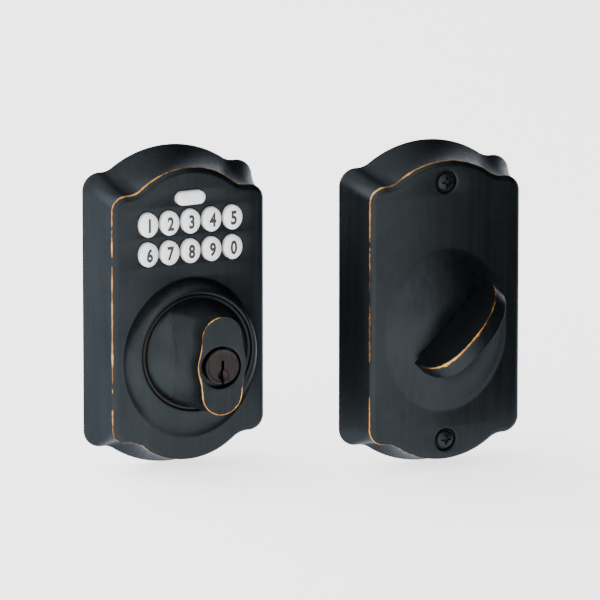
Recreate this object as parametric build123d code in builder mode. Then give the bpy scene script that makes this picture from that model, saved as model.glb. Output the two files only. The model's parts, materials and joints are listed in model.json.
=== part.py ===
from build123d import *
import os
from math import atan2, cos, degrees, pi, sin

# Keypad deadbolt trim: the outside keypad half and the inside thumbturn half, stood side by side.
#
# Frame: +X right, +Y into the door, +Z up, millimetres. The origin is on the axis of the outside turn,
# in the plane of the door's outer face. Both halves face -Y. "Forward" is a distance from a half's own
# door face towards the user. Outlines of the two plates are measured from the middle of the plate, and
# every other height from the axis of that half's turn.

os.makedirs("parts", exist_ok=True)

# ---- Driving dimensions ------------------------------------------------------------------------
PLATE_HEIGHT = 127.0          # outside housing at the door, top of arch to bottom of arch
PLATE_DEPTH = 22.6            # door face to flat front face
TURN_BELOW_CENTRE = 13.5      # outside turn's axis below the middle of its housing
THUMB_BELOW_CENTRE = 4.1      # thumbturn's axis below the middle of its cover
CROSS_BORE = 54.0             # hole through the door that the lock goes in
DOOR_THICK = 35.0             # usual door, 1 3/8 in
BOLT_SPACING = 38.1           # between the two bolts that clamp the halves together
WALL = 2.4                    # cast wall of the housing and the cover
RUN_GAP = 0.05                # radial clearance of a shaft in its hole
FREE_GAP = 0.3                # clearance between moving and fixed faces

# ---- Layout of the two halves ------------------------------------------------------------------
INSIDE_SCALE = 1.012          # the inside cover is a little larger than the outside housing
INSIDE_X = 92.2               # inside half stands to the right of the outside half
INSIDE_DOOR_Y = -38.9         # and nearer the user
OUT_CENTRE_Z = TURN_BELOW_CENTRE
FLOOR_Z = OUT_CENTRE_Z - PLATE_HEIGHT / 2
IN_CENTRE_Z = FLOOR_Z + PLATE_HEIGHT / 2 * INSIDE_SCALE
THUMB_Z = IN_CENTRE_Z - THUMB_BELOW_CENTRE

# ---- Outline of the plates: half width, shoulder height, arch height, corner, fillet, flat ------
BACK = dict(wide=35.8, shoulder=54.8, arch=PLATE_HEIGHT / 2, corner=6.9, fillet=8.0, flat=1.0)
EDGE = dict(wide=32.0, shoulder=49.2, arch=58.3, corner=6.0, fillet=10.0, flat=0.6)
IN_EDGE = dict(wide=32.0, shoulder=51.4, arch=59.6, corner=6.4, fillet=9.0, flat=0.6)
RIM_DEPTH = 0.9               # straight rim against the door
BEVEL = 2.0                   # width of the bevel round the front face
BEVEL_DEPTH = 1.8
COVE_STEPS = (0.0, 0.36, 0.64, 0.84, 1.0)     # share of the inward slope reached at even depths

# ---- Keypad ------------------------------------------------------------------------------------
KEY_PITCH = 8.86
KEY_WIDTH = 7.9
KEY_HEIGHT = 9.6
KEY_ROWS = (51.0, 39.2)       # heights of the two rows
OVAL_Z = 60.3
OVAL_WIDTH = 12.2
OVAL_HEIGHT = 5.4
KEY_GAP = 0.2                 # between a key and its hole
KEY_PROUD = 2.4               # how far a key stands out of the face
KEY_FLANGE = 1.0
DIGITS = ("12345", "67890")

# ---- Outside turn and its cylinder --------------------------------------------------------------
GROOVE_R = 22.9
TURN_R = 21.3
BOSS_WIDE = 28.4              # half width and half height of the raised boss where it meets the face
BOSS_TALL = 32.5
BOSS_DROP = 3.9               # boss base sits a little below the turn's axis
BOSS_RISE = 7.6
FLANGE_R = 24.3
TURN_FACE = 54.2              # forward distance of the turn's flat front face
TURN_TALL = 39.0
TURN_WIDE = 16.8              # of the lobes above and below the cylinder
TURN_BULGE = 1.8              # the middle stands out by this on each side, round the cylinder
HUB_R = 12.0
HUB_BORE = 9.3
NOSE_R = 7.1                  # visible disc of the key plug
NOSE_HOLE_R = 8.3
PLUG_R = 6.35
SHELL_R = 8.2
PIN_R = 1.45
PIN_PITCH = 3.96
PIN_COUNT = 5

# ---- Drive ---------------------------------------------------------------------------------------
HUB_PIN_R = CROSS_BORE / 2 - 0.8
HUB_PIN_LENGTH = 12.0
SHAFT_R = 4.0
BLADE_WIDE = 6.35
BLADE_THICK = 2.4
BLADE_END = DOOR_THICK + 12.0 # tailpiece reaches through the door into the inside half
CLUTCH_TRAVEL = 1.5
CLUTCH_PIN_R = 1.3
RADIAL_FORWARD = 11.0         # the clutch pin and the plunger act in this plane
THREAD_R = 1.9                # tapped hole for a number 10 machine screw
BOLT_R = 2.4
BOLT_SHOULDER_R = 2.6         # plain shank where a bolt passes the support plate
THREAD_GRIP = 9.0             # length of bolt that screws into a post

# ---- Windows for the plug of the cable between the halves ---------------------------------------
WINDOW_WIDE = 14.0
WINDOW_TALL = 8.0
HUB_OUTLET_Z = 16.8
IN_WINDOW_Z = -17.0           # below the thumbturn's axis

# ---- Thumbturn -------------------------------------------------------------------------------------
DOME_WIDE = 27.0
DOME_TALL = 32.0
DOME_RISE = 8.3
THUMB_LONG = 43.2
THUMB_TALL = 24.8
THUMB_THICK = 6.6
THUMB_LEAN = 3.0              # the crest leans towards the lower end
THUMB_ANGLE = 45.0            # rest position, half way between locked and unlocked
COVER_SCREW_Z = 51.4          # above and below the middle of the cover
SCREW_HEAD_R = 3.5


def facing(forward, x=0.0, z=0.0, door=0.0):
    """Plane parallel to the door: sketch x is +X, sketch y is +Z, and extrude goes towards the user."""
    return Plane(origin=(x, door - forward, z), x_dir=(1, 0, 0), z_dir=(0, -1, 0))


def inside(forward, z=THUMB_Z, x=0.0):
    """The same kind of plane on the inside half."""
    return facing(forward, INSIDE_X + x, z, INSIDE_DOOR_Y)


def radial_plane(height):
    """Level plane on the axis of the clutch pin and the solenoid plunger."""
    return Plane((0, -RADIAL_FORWARD, height), x_dir=(1, 0, 0), z_dir=(0, 0, 1))


def blend(first, second, share):
    """Outline part of the way from one outline to another."""
    return {key: first[key] + (second[key] - first[key]) * share for key in first}


def shrink(shape, inset):
    """Outline moved inwards by a distance, or outwards where the distance is negative."""
    return dict(wide=shape["wide"] - inset, shoulder=shape["shoulder"] - inset, arch=shape["arch"] - inset,
                corner=shape["corner"] - inset, fillet=shape["fillet"] + inset, flat=shape["flat"])


def scaled(shape, factor):
    return {key: value * factor for key, value in shape.items()}


def plate_face(plane, shape):
    """Arched plate: straight sides, round shoulders and a wide arch at the top and the bottom."""
    wide, shoulder, arch = shape["wide"], shape["shoulder"], shape["arch"]
    corner, fillet_r = shape["corner"], shape["fillet"]
    fillet_x = wide - corner - shape["flat"]
    drop = shoulder + fillet_r - arch
    arch_r = (fillet_x**2 - fillet_r**2 + drop**2) / (2 * (fillet_r - drop))
    arch_z = arch - arch_r
    swing = degrees(atan2(shoulder + fillet_r - arch_z, fillet_x))
    with BuildSketch(plane) as face:
        with BuildLine():
            Line((wide, 0), (wide, shoulder - corner))
            CenterArc((wide - corner, shoulder - corner), corner, 0, 90)
            Line((wide - corner, shoulder), (fillet_x, shoulder))
            CenterArc((fillet_x, shoulder + fillet_r), fillet_r, 270, swing - 90)
            CenterArc((0, arch_z), arch_r, swing, 90 - swing)
            mirror(about=Plane.YZ)
            mirror(about=Plane.XZ)
        make_face()
    return face.sketch


def cove_sections(place, back, edge, depth, inset):
    """Sections of the hollow-sided wall, from the rim at the door to the front edge."""
    steps = len(COVE_STEPS) - 1
    return [plate_face(place(RIM_DEPTH + (depth - RIM_DEPTH) * step / steps),
                       shrink(blend(back, edge, share), inset)) for step, share in enumerate(COVE_STEPS)]


def ellipse_face(plane, wide, tall):
    with BuildSketch(plane) as face:
        Ellipse(wide, tall)
    return face.sketch


def circle_face(plane, radius, bore=0.0):
    with BuildSketch(plane) as face:
        Circle(radius)
        if bore:
            Circle(bore, mode=Mode.SUBTRACT)
    return face.sketch


def circles_face(plane, radius, centres):
    with BuildSketch(plane) as face:
        with Locations(*centres):
            Circle(radius)
    return face.sketch


def rectangle_face(plane, wide, tall, centre=(0, 0), corner=0.0):
    with BuildSketch(plane) as face:
        with Locations(centre):
            if corner:
                RectangleRounded(wide, tall, corner)
            else:
                Rectangle(wide, tall)
    return face.sketch


def stadium_face(plane, wide, tall):
    with BuildSketch(plane) as face:
        SlotOverall(wide, tall)
    return face.sketch


def bulged_face(plane, wide, tall, bulge):
    """Tall round-ended outline whose sides swell by the bulge at mid height."""
    lobe = wide / 2
    reach = tall / 2 - lobe
    with BuildSketch(plane) as face:
        with BuildLine():
            top = CenterArc((0, reach), lobe, 0, 180)
            bottom = CenterArc((0, -reach), lobe, 180, 180)
            ThreePointArc(top @ 1, (-lobe - bulge, 0), bottom @ 0)
            ThreePointArc(bottom @ 1, (lobe + bulge, 0), top @ 0)
        make_face()
    return face.sketch


def finish(builder, name):
    builder.part.label = name
    export_step(builder.part, f"parts/{name}.step")


FRONT = PLATE_DEPTH
EDGE_DEPTH = PLATE_DEPTH - BEVEL_DEPTH
CEILING = PLATE_DEPTH - WALL
KEY_CENTRES = [((column - 2) * KEY_PITCH, row_z) for row_z in KEY_ROWS for column in range(5)]


def out_plane(forward):
    return facing(forward, 0, OUT_CENTRE_Z)


def in_plane(forward):
    return inside(forward, IN_CENTRE_Z)


# ================================ Outside half =====================================================

BOSS_TOP = FRONT + BOSS_RISE
POCKET_R = FLANGE_R + 0.5
POCKET_TOP = FRONT + 0.2
EAR_CENTRES = [(x, z) for x in (-22.0, 22.0) for z in (-17.0, 17.0)]
BOARD_POST_CENTRES = [(x, z) for x in (-25.0, 25.0) for z in (35.2, 54.7)]
BOARD_FRONT = 15.1
BOARD_THICK = 1.6
PLATE_STUD_CENTRES = [(x, z) for x in (-26.8, 26.8) for z in (-26.0, 25.0)]
PLATE_BACK = 0.8
PLATE_THICK = 2.0
PLATE_FRONT = PLATE_BACK + PLATE_THICK

with BuildPart() as keypad_housing:
    extrude(plate_face(out_plane(0), BACK), amount=RIM_DEPTH)
    loft(cove_sections(out_plane, shrink(BACK, 0.35), EDGE, EDGE_DEPTH, 0))
    loft([plate_face(out_plane(EDGE_DEPTH), EDGE), plate_face(out_plane(FRONT), shrink(EDGE, BEVEL))],
         ruled=True)
    loft([ellipse_face(facing(FRONT - 0.5, 0, -BOSS_DROP), BOSS_WIDE, BOSS_TALL),
          ellipse_face(facing(FRONT + BOSS_RISE * 0.6, 0, -BOSS_DROP * 0.4), 26.2, 27.6),
          circle_face(facing(BOSS_TOP), GROOVE_R + 1.2)])
    extrude(plate_face(out_plane(0), shrink(BACK, WALL)), amount=RIM_DEPTH, mode=Mode.SUBTRACT)
    loft(cove_sections(out_plane, BACK, blend(EDGE, shrink(EDGE, BEVEL), 0.3), CEILING, WALL),
         mode=Mode.SUBTRACT)
    extrude(circle_face(facing(0), POCKET_R), amount=POCKET_TOP, mode=Mode.SUBTRACT)
    extrude(circle_face(facing(0), GROOVE_R), amount=BOSS_TOP + 1, mode=Mode.SUBTRACT)
    for x, z in KEY_CENTRES:
        extrude(ellipse_face(facing(CEILING - 1, x, z), KEY_WIDTH / 2 + KEY_GAP, KEY_HEIGHT / 2 + KEY_GAP),
                amount=WALL + 2, mode=Mode.SUBTRACT)
    extrude(stadium_face(facing(CEILING - 1, 0, OVAL_Z), OVAL_WIDTH + 2 * KEY_GAP, OVAL_HEIGHT + 2 * KEY_GAP),
            amount=WALL + 2, mode=Mode.SUBTRACT)
    extrude(circles_face(facing(BOARD_FRONT), 2.2, BOARD_POST_CENTRES), amount=CEILING - BOARD_FRONT + 0.5)
    extrude(circles_face(facing(BOARD_FRONT), 0.9, BOARD_POST_CENTRES), amount=4, mode=Mode.SUBTRACT)
    extrude(circles_face(facing(CEILING), 1.1, EAR_CENTRES), amount=1.6, mode=Mode.SUBTRACT)
    extrude(circles_face(facing(PLATE_FRONT), 2.6, PLATE_STUD_CENTRES), amount=CEILING - PLATE_FRONT + 0.5)
    extrude(circles_face(facing(PLATE_FRONT), 1.1, PLATE_STUD_CENTRES), amount=6, mode=Mode.SUBTRACT)
finish(keypad_housing, "keypad_housing")

MEMBRANE_THICK = 1.2
MEMBRANE_FRONT = BOARD_FRONT + MEMBRANE_THICK
BOARD_LOW = 32.1
BOARD_SHOULDER = 58.0
BOARD_TOP = 65.2
TONGUE_WIDE = 26.0
DOME_CENTRES = KEY_CENTRES + [(0, OVAL_Z)]


def keypad_outline(plane, wide, margin=0.0):
    """Board shape: a rectangle behind the digits with a tongue that reaches up behind the oval button."""
    low = BOARD_LOW + margin
    with BuildSketch(plane) as face:
        for width, top in ((wide, BOARD_SHOULDER - margin), (TONGUE_WIDE, BOARD_TOP - margin)):
            with Locations((0, (low + top) / 2)):
                RectangleRounded(width, top - low, 1.5)
    return face.sketch


with BuildPart() as keypad_membrane:
    extrude(keypad_outline(facing(BOARD_FRONT), 52, 0.5), amount=MEMBRANE_THICK)
    extrude(circles_face(facing(MEMBRANE_FRONT), 2.2, DOME_CENTRES), amount=0.9)
    extrude(circles_face(facing(BOARD_FRONT), 2.5, BOARD_POST_CENTRES), amount=3, mode=Mode.SUBTRACT)
finish(keypad_membrane, "keypad_membrane")

with BuildPart() as keypad_board:
    extrude(keypad_outline(facing(BOARD_FRONT - BOARD_THICK), 54), amount=BOARD_THICK)
    extrude(circles_face(facing(BOARD_FRONT - BOARD_THICK), 1.2, BOARD_POST_CENTRES), amount=BOARD_THICK,
            mode=Mode.SUBTRACT)
finish(keypad_board, "keypad_board")

BOARD_BACK = BOARD_FRONT - BOARD_THICK

with BuildPart() as controller_chip:
    extrude(rectangle_face(facing(BOARD_BACK - 1.4, 6, 51), 12, 12), amount=1.4)
    chamfer(controller_chip.edges().filter_by(Axis.Y), 0.4)
finish(controller_chip, "controller_chip")

with BuildPart() as beeper:
    extrude(circle_face(facing(BOARD_BACK - 4, -14, 50), 5), amount=4)
    extrude(circle_face(facing(BOARD_BACK - 4, -14, 50), 0.8), amount=2, mode=Mode.SUBTRACT)
finish(beeper, "beeper")

with BuildPart() as cable_socket:
    extrude(rectangle_face(facing(BOARD_BACK - 5, 18, 39), 10, 5.5), amount=5)
    extrude(rectangle_face(facing(BOARD_BACK - 5, 18, 39), 8.6, 4.1), amount=4, mode=Mode.SUBTRACT)
finish(cable_socket, "cable_socket")

with BuildPart() as board_screws:
    extrude(circles_face(facing(BOARD_BACK - 1.2), 1.9, BOARD_POST_CENTRES), amount=1.2)
    extrude(circles_face(facing(BOARD_BACK), 0.85, BOARD_POST_CENTRES), amount=5)
    for x, z in BOARD_POST_CENTRES:
        extrude(rectangle_face(facing(BOARD_BACK - 1.2, x, z), 2.4, 0.5), amount=0.5, mode=Mode.SUBTRACT)
        extrude(rectangle_face(facing(BOARD_BACK - 1.2, x, z), 0.5, 2.4), amount=0.5, mode=Mode.SUBTRACT)
finish(board_screws, "board_screws")

KEY_TOP = FRONT + KEY_PROUD
FLANGE_FRONT = CEILING - 0.05
FLANGE_BACK = FLANGE_FRONT - KEY_FLANGE

for digit, (x, z) in zip("".join(DIGITS), KEY_CENTRES):
    with BuildPart() as key:
        extrude(ellipse_face(facing(FLANGE_BACK, x, z), KEY_WIDTH / 2 + 0.36, KEY_HEIGHT / 2 + 0.6),
                amount=KEY_FLANGE)
        extrude(ellipse_face(facing(FLANGE_BACK, x, z), KEY_WIDTH / 2, KEY_HEIGHT / 2),
                amount=KEY_TOP - FLANGE_BACK)
        fillet(key.edges().group_by(Axis.Y)[0], 0.9)
    finish(key, f"key_{digit}")

with BuildPart() as oval_button:
    extrude(stadium_face(facing(FLANGE_BACK, 0, OVAL_Z), OVAL_WIDTH + 1.2, OVAL_HEIGHT + 1.2),
            amount=KEY_FLANGE)
    extrude(stadium_face(facing(FLANGE_BACK, 0, OVAL_Z), OVAL_WIDTH, OVAL_HEIGHT),
            amount=KEY_TOP - FLANGE_BACK)
    fillet(oval_button.edges().group_by(Axis.Y)[0], 0.8)
finish(oval_button, "oval_button")

# The turn: a flange trapped inside the housing, a round base level with the boss, a bulged grip and a
# hollow hub that runs back through the bearing plate and the backing plate.
FLANGE_TOP = POCKET_TOP - FREE_GAP
FLANGE_LOW = CEILING + 0.7
HUB_END = 0.8
BASE_TOP = BOSS_TOP - 0.2
SEAL_SUNK = 0.5               # the seal in the groove lies this far below the boss
CHAMBER_WIDE = 7.6
CHAMBER_TOP = 16.6
SHELL_LOW = FLANGE_LOW + 2.2
SHELL_TOP = TURN_FACE - 3.7
CHAMBER_LOW = SHELL_LOW
CHAMBER_HIGH = SHELL_TOP - 3.0
TURN_MID = BASE_TOP + 10.0

with BuildPart() as outside_turn:
    extrude(circle_face(facing(HUB_END), HUB_R), amount=FLANGE_TOP - HUB_END)
    extrude(circle_face(facing(FLANGE_LOW), FLANGE_R), amount=FLANGE_TOP - FLANGE_LOW)
    extrude(circle_face(facing(FLANGE_TOP), TURN_R), amount=BASE_TOP - FLANGE_TOP)
    loft([bulged_face(facing(BASE_TOP), 38.0, 42.0, 1.0),
          bulged_face(facing(TURN_MID), 20.0, 40.4, TURN_BULGE),
          bulged_face(facing(TURN_FACE), TURN_WIDE, TURN_TALL, TURN_BULGE)])
    extrude(circle_face(facing(HUB_END), HUB_BORE), amount=SHELL_LOW - HUB_END, mode=Mode.SUBTRACT)
    extrude(circle_face(facing(SHELL_LOW - 0.5), SHELL_R + RUN_GAP),
            amount=SHELL_TOP - SHELL_LOW + 0.5 + RUN_GAP, mode=Mode.SUBTRACT)
    extrude(circle_face(facing(SHELL_TOP - 1), NOSE_HOLE_R), amount=TURN_FACE - SHELL_TOP + 2,
            mode=Mode.SUBTRACT)
    extrude(rectangle_face(facing(SHELL_LOW - 3), CHAMBER_WIDE + 0.2, CHAMBER_TOP + 0.1,
                           (0, (CHAMBER_TOP + 0.1) / 2)),
            amount=CHAMBER_HIGH - SHELL_LOW + 3.1, mode=Mode.SUBTRACT)
    extrude(circle_face(radial_plane(0), CLUTCH_PIN_R + RUN_GAP), amount=HUB_R + 1,
            mode=Mode.SUBTRACT)
finish(outside_turn, "outside_turn")

with BuildPart() as turn_seal:
    extrude(circle_face(facing(POCKET_TOP + 0.3), GROOVE_R - RUN_GAP, TURN_R + RUN_GAP),
            amount=BOSS_TOP - SEAL_SUNK - POCKET_TOP - 0.3)
finish(turn_seal, "turn_seal")

with BuildPart() as turn_washer:
    extrude(circle_face(facing(CEILING + 0.05), 20, 14), amount=0.5)
finish(turn_washer, "turn_washer")

BEARING_THICK = 2.0
BEARING_HEAD = 1.4            # head height of the bearing plate's screws
BEARING_BACK = CEILING - BEARING_THICK
HEAD_BACK = BEARING_BACK - BEARING_HEAD

with BuildPart() as turn_bearing_plate:
    extrude(rectangle_face(facing(BEARING_BACK), 49.6, 40, (0, 0), 4), amount=BEARING_THICK)
    extrude(circle_face(facing(BEARING_BACK), HUB_R + RUN_GAP), amount=BEARING_THICK, mode=Mode.SUBTRACT)
    extrude(circles_face(facing(BEARING_BACK), 1.4, EAR_CENTRES), amount=BEARING_THICK, mode=Mode.SUBTRACT)
finish(turn_bearing_plate, "turn_bearing_plate")

with BuildPart() as bearing_plate_screws:
    extrude(circles_face(facing(HEAD_BACK), 2.2, EAR_CENTRES), amount=BEARING_HEAD)
    extrude(circles_face(facing(BEARING_BACK), 1.05, EAR_CENTRES), amount=3.5)
    for x, z in EAR_CENTRES:
        extrude(rectangle_face(facing(HEAD_BACK, x, z), 2.6, 0.6), amount=0.6, mode=Mode.SUBTRACT)
        extrude(rectangle_face(facing(HEAD_BACK, x, z), 0.6, 2.6), amount=0.6, mode=Mode.SUBTRACT)
finish(bearing_plate_screws, "bearing_plate_screws")

# ---- Key cylinder, carried inside the turn -------------------------------------------------------------
PIN_FORWARDS = [SHELL_TOP - 6.0 - PIN_PITCH * index for index in range(PIN_COUNT)]
SHEAR_R = PLUG_R + RUN_GAP
PIN_CENTRES = [(0, -forward) for forward in PIN_FORWARDS]
CUT_STEPS = (0.0, 1.1, 0.4, 1.6, 0.7)
DRIVER_LENGTH = 4.0
COVER_THICK = 0.7


def pin_plane(height):
    return Plane((0, 0, height), x_dir=(1, 0, 0), z_dir=(0, 0, 1))


with BuildPart() as cylinder_shell:
    extrude(circle_face(facing(SHELL_LOW), SHELL_R), amount=SHELL_TOP - SHELL_LOW)
    extrude(rectangle_face(facing(CHAMBER_LOW), CHAMBER_WIDE, CHAMBER_TOP - COVER_THICK - 0.1,
                           (0, (CHAMBER_TOP - COVER_THICK - 0.1) / 2)), amount=CHAMBER_HIGH - CHAMBER_LOW)
    extrude(circle_face(facing(SHELL_LOW), SHEAR_R), amount=SHELL_TOP - SHELL_LOW, mode=Mode.SUBTRACT)
    extrude(circles_face(pin_plane(0), PIN_R + RUN_GAP, PIN_CENTRES), amount=CHAMBER_TOP + 1,
            mode=Mode.SUBTRACT)
finish(cylinder_shell, "cylinder_shell")

with BuildPart() as chamber_cover:
    extrude(rectangle_face(facing(CHAMBER_LOW + 0.4), CHAMBER_WIDE - 0.4, COVER_THICK,
                           (0, CHAMBER_TOP - COVER_THICK / 2 - 0.1)), amount=CHAMBER_HIGH - CHAMBER_LOW - 0.8)
finish(chamber_cover, "chamber_cover")

with BuildPart() as driver_pins:
    for centre in PIN_CENTRES:
        extrude(circles_face(pin_plane(SHEAR_R + 0.1), PIN_R, [centre]), amount=DRIVER_LENGTH)
finish(driver_pins, "driver_pins")

SPRING_WIRE = 0.2
SPRING_LOW = SHEAR_R + 0.1 + DRIVER_LENGTH + SPRING_WIRE
SPRING_HIGH = CHAMBER_TOP - COVER_THICK - 0.1 - SPRING_WIRE

with BuildPart() as pin_springs:
    for x, y in PIN_CENTRES:
        with BuildLine(Plane((x, y, SPRING_LOW), x_dir=(1, 0, 0), z_dir=(0, 0, 1))) as coil:
            Helix(pitch=(SPRING_HIGH - SPRING_LOW) / 5, height=SPRING_HIGH - SPRING_LOW, radius=1.0)
        with BuildSketch(Plane(origin=coil.line @ 0, z_dir=coil.line % 0)):
            Circle(SPRING_WIRE)
        sweep(path=coil.line, is_frenet=True)
finish(pin_springs, "pin_springs")

# Keyway: a narrow slot from above the centre down to the rim, with a wider scoop at its foot.
PLUG_END = SHELL_LOW - 2.0
NOSE_LOW = SHELL_TOP + 0.1
NOSE_TOP = TURN_FACE + 0.6
KEYWAY_TOP = 2.6
KEYWAY_WIDE = 1.5
CAP_THREAD_R = 4.6
KEY_CLUTCH_Z = 2.6
KEY_CLUTCH_R = 1.25

with BuildPart() as key_plug:
    extrude(circle_face(facing(SHELL_LOW - 0.1), PLUG_R), amount=NOSE_LOW - SHELL_LOW + 0.1)
    extrude(circle_face(facing(NOSE_LOW), NOSE_R), amount=NOSE_TOP - NOSE_LOW)
    chamfer(key_plug.edges().group_by(Axis.Y)[0], 0.35)
    extrude(circle_face(facing(PLUG_END), CAP_THREAD_R), amount=SHELL_LOW - PLUG_END)
    extrude(rectangle_face(facing(SHELL_LOW + 1.5), KEYWAY_WIDE, KEYWAY_TOP + PLUG_R + 1,
                           (0, (KEYWAY_TOP - PLUG_R - 1) / 2)),
            amount=NOSE_TOP - SHELL_LOW, mode=Mode.SUBTRACT)
    extrude(circle_face(facing(NOSE_TOP - 1.0, 0, -4.2), 2.3), amount=2, mode=Mode.SUBTRACT)
    extrude(circles_face(pin_plane(-1.0), PIN_R + RUN_GAP, PIN_CENTRES), amount=PLUG_R + 2,
            mode=Mode.SUBTRACT)
    extrude(circle_face(facing(PLUG_END, 0, KEY_CLUTCH_Z), KEY_CLUTCH_R + RUN_GAP), amount=6.5,
            mode=Mode.SUBTRACT)
finish(key_plug, "key_plug")

with BuildPart() as key_pins:
    for (x, y), cut in zip(PIN_CENTRES, CUT_STEPS):
        extrude(circles_face(pin_plane(-0.2 + cut), PIN_R, [(x, y)]), amount=PLUG_R - 0.25 + 0.2 - cut)
finish(key_pins, "key_pins")

with BuildPart() as plug_cap:
    extrude(circle_face(facing(PLUG_END), 7.6, CAP_THREAD_R + 0.02), amount=SHELL_LOW - 0.2 - PLUG_END)
finish(plug_cap, "plug_cap")

# ---- Clutches and drive --------------------------------------------------------------------------------
CAM_FRONT = 14.5
CAM_BACK = 7.5
CAM_R = HUB_BORE - FREE_GAP
SLOT_DEPTH = 2.3
QUARTERS = [(KEY_CLUTCH_Z * cos(turn * pi / 2), KEY_CLUTCH_Z * sin(turn * pi / 2)) for turn in range(4)]

with BuildPart() as key_clutch_pin:
    extrude(circle_face(facing(CAM_FRONT + FREE_GAP, 0, KEY_CLUTCH_Z), KEY_CLUTCH_R),
            amount=PLUG_END + 4.0 - CAM_FRONT - FREE_GAP)
finish(key_clutch_pin, "key_clutch_pin")

with BuildPart() as spindle_cam:
    extrude(circle_face(facing(CAM_BACK), CAM_R), amount=CAM_FRONT - CAM_BACK)
    extrude(circle_face(facing(-HUB_PIN_LENGTH), SHAFT_R), amount=CAM_BACK + HUB_PIN_LENGTH)
    extrude(circles_face(facing(CAM_FRONT), 1.5, QUARTERS), amount=-SLOT_DEPTH - 0.5, mode=Mode.SUBTRACT)
    for normal in ((0, 0, 1), (1, 0, 0), (0, 0, -1), (-1, 0, 0)):
        rim = Plane((0, -RADIAL_FORWARD, 0), x_dir=(0, 1, 0), z_dir=normal).offset(CAM_R - 1.7)
        extrude(circle_face(rim, 1.6), amount=4, mode=Mode.SUBTRACT)
    extrude(rectangle_face(facing(-HUB_PIN_LENGTH), BLADE_WIDE, BLADE_THICK), amount=HUB_PIN_LENGTH - 2,
            mode=Mode.SUBTRACT)
finish(spindle_cam, "spindle_cam")

with BuildPart() as tailpiece:
    extrude(rectangle_face(facing(-BLADE_END), BLADE_WIDE, BLADE_THICK), amount=BLADE_END - 2.2)
    chamfer(tailpiece.edges().filter_by(Axis.Z).group_by(Axis.Y)[-1], 1.6)
finish(tailpiece, "tailpiece")

PIN_HEAD_TOP = HUB_R + CLUTCH_TRAVEL

with BuildPart() as clutch_pin:
    extrude(circle_face(radial_plane(CAM_R + FREE_GAP), CLUTCH_PIN_R),
            amount=PIN_HEAD_TOP - CAM_R - FREE_GAP)
    fillet(clutch_pin.edges().group_by(Axis.Z)[-1], 0.4)
finish(clutch_pin, "clutch_pin")

SOLENOID_LOW = 18.0
SOLENOID_HIGH = 30.0
PLUNGER_LOW = PIN_HEAD_TOP + 0.25
PLUNGER_R = 1.5
PLUNGER_GRIP = 8.0            # length of plunger inside the solenoid

with BuildPart() as clutch_solenoid:
    extrude(rectangle_face(facing(PLATE_FRONT), 14, SOLENOID_HIGH - SOLENOID_LOW,
                           (0, (SOLENOID_LOW + SOLENOID_HIGH) / 2), 1.5), amount=12.4)
    extrude(circle_face(radial_plane(SOLENOID_LOW), PLUNGER_R + RUN_GAP), amount=PLUNGER_GRIP + 1,
            mode=Mode.SUBTRACT)
finish(clutch_solenoid, "clutch_solenoid")

with BuildPart() as solenoid_plunger:
    extrude(circle_face(radial_plane(PLUNGER_LOW), PLUNGER_R),
            amount=SOLENOID_LOW + PLUNGER_GRIP - PLUNGER_LOW)
    extrude(circle_face(radial_plane(PLUNGER_LOW), 2.4), amount=1.0)
finish(solenoid_plunger, "solenoid_plunger")

# ---- Back of the outside half --------------------------------------------------------------------------
POST_CENTRES = [(-BOLT_SPACING / 2, 0), (BOLT_SPACING / 2, 0)]
POST_R = 4.0
PLATE_INSET = 3.7

with BuildPart() as backing_plate:
    extrude(plate_face(out_plane(PLATE_BACK), shrink(BACK, PLATE_INSET)), amount=PLATE_THICK)
    extrude(circle_face(facing(PLATE_BACK), HUB_R + RUN_GAP), amount=PLATE_THICK, mode=Mode.SUBTRACT)
    extrude(circles_face(facing(PLATE_BACK), POST_R - 1.0, POST_CENTRES),
            amount=PLATE_THICK, mode=Mode.SUBTRACT)
    extrude(circles_face(facing(PLATE_BACK), 1.4, PLATE_STUD_CENTRES), amount=PLATE_THICK, mode=Mode.SUBTRACT)
    extrude(rectangle_face(facing(PLATE_BACK), WINDOW_WIDE + 2, WINDOW_TALL + 1, (16, 39), 2),
            amount=PLATE_THICK, mode=Mode.SUBTRACT)
finish(backing_plate, "backing_plate")

HUB_WALL = 2.2
HUB_FLOOR = 2.0

with BuildPart() as bore_hub:
    extrude(circle_face(facing(-HUB_PIN_LENGTH), HUB_PIN_R, HUB_PIN_R - HUB_WALL),
            amount=HUB_PIN_LENGTH + PLATE_BACK)
    extrude(circle_face(facing(-HUB_PIN_LENGTH + 0.6), HUB_PIN_R - HUB_WALL + 0.1), amount=HUB_FLOOR)
    extrude(circle_face(facing(-HUB_PIN_LENGTH), SHAFT_R + RUN_GAP), amount=HUB_FLOOR + 2, mode=Mode.SUBTRACT)
    extrude(circles_face(facing(-HUB_PIN_LENGTH), POST_R + 0.1, POST_CENTRES), amount=HUB_FLOOR + 2,
            mode=Mode.SUBTRACT)
    extrude(rectangle_face(facing(-HUB_PIN_LENGTH), WINDOW_WIDE, WINDOW_TALL, (0, HUB_OUTLET_Z), 1.5),
            amount=HUB_FLOOR + 2, mode=Mode.SUBTRACT)
finish(bore_hub, "bore_hub")

with BuildPart() as mounting_posts:
    extrude(circles_face(facing(-HUB_PIN_LENGTH), POST_R, POST_CENTRES), amount=HUB_PIN_LENGTH + PLATE_BACK)
    extrude(circles_face(facing(PLATE_BACK), POST_R - 1.05, POST_CENTRES), amount=PLATE_FRONT - PLATE_BACK)
    extrude(circles_face(facing(-HUB_PIN_LENGTH), THREAD_R, POST_CENTRES), amount=HUB_PIN_LENGTH - 1,
            mode=Mode.SUBTRACT)
finish(mounting_posts, "mounting_posts")

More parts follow.
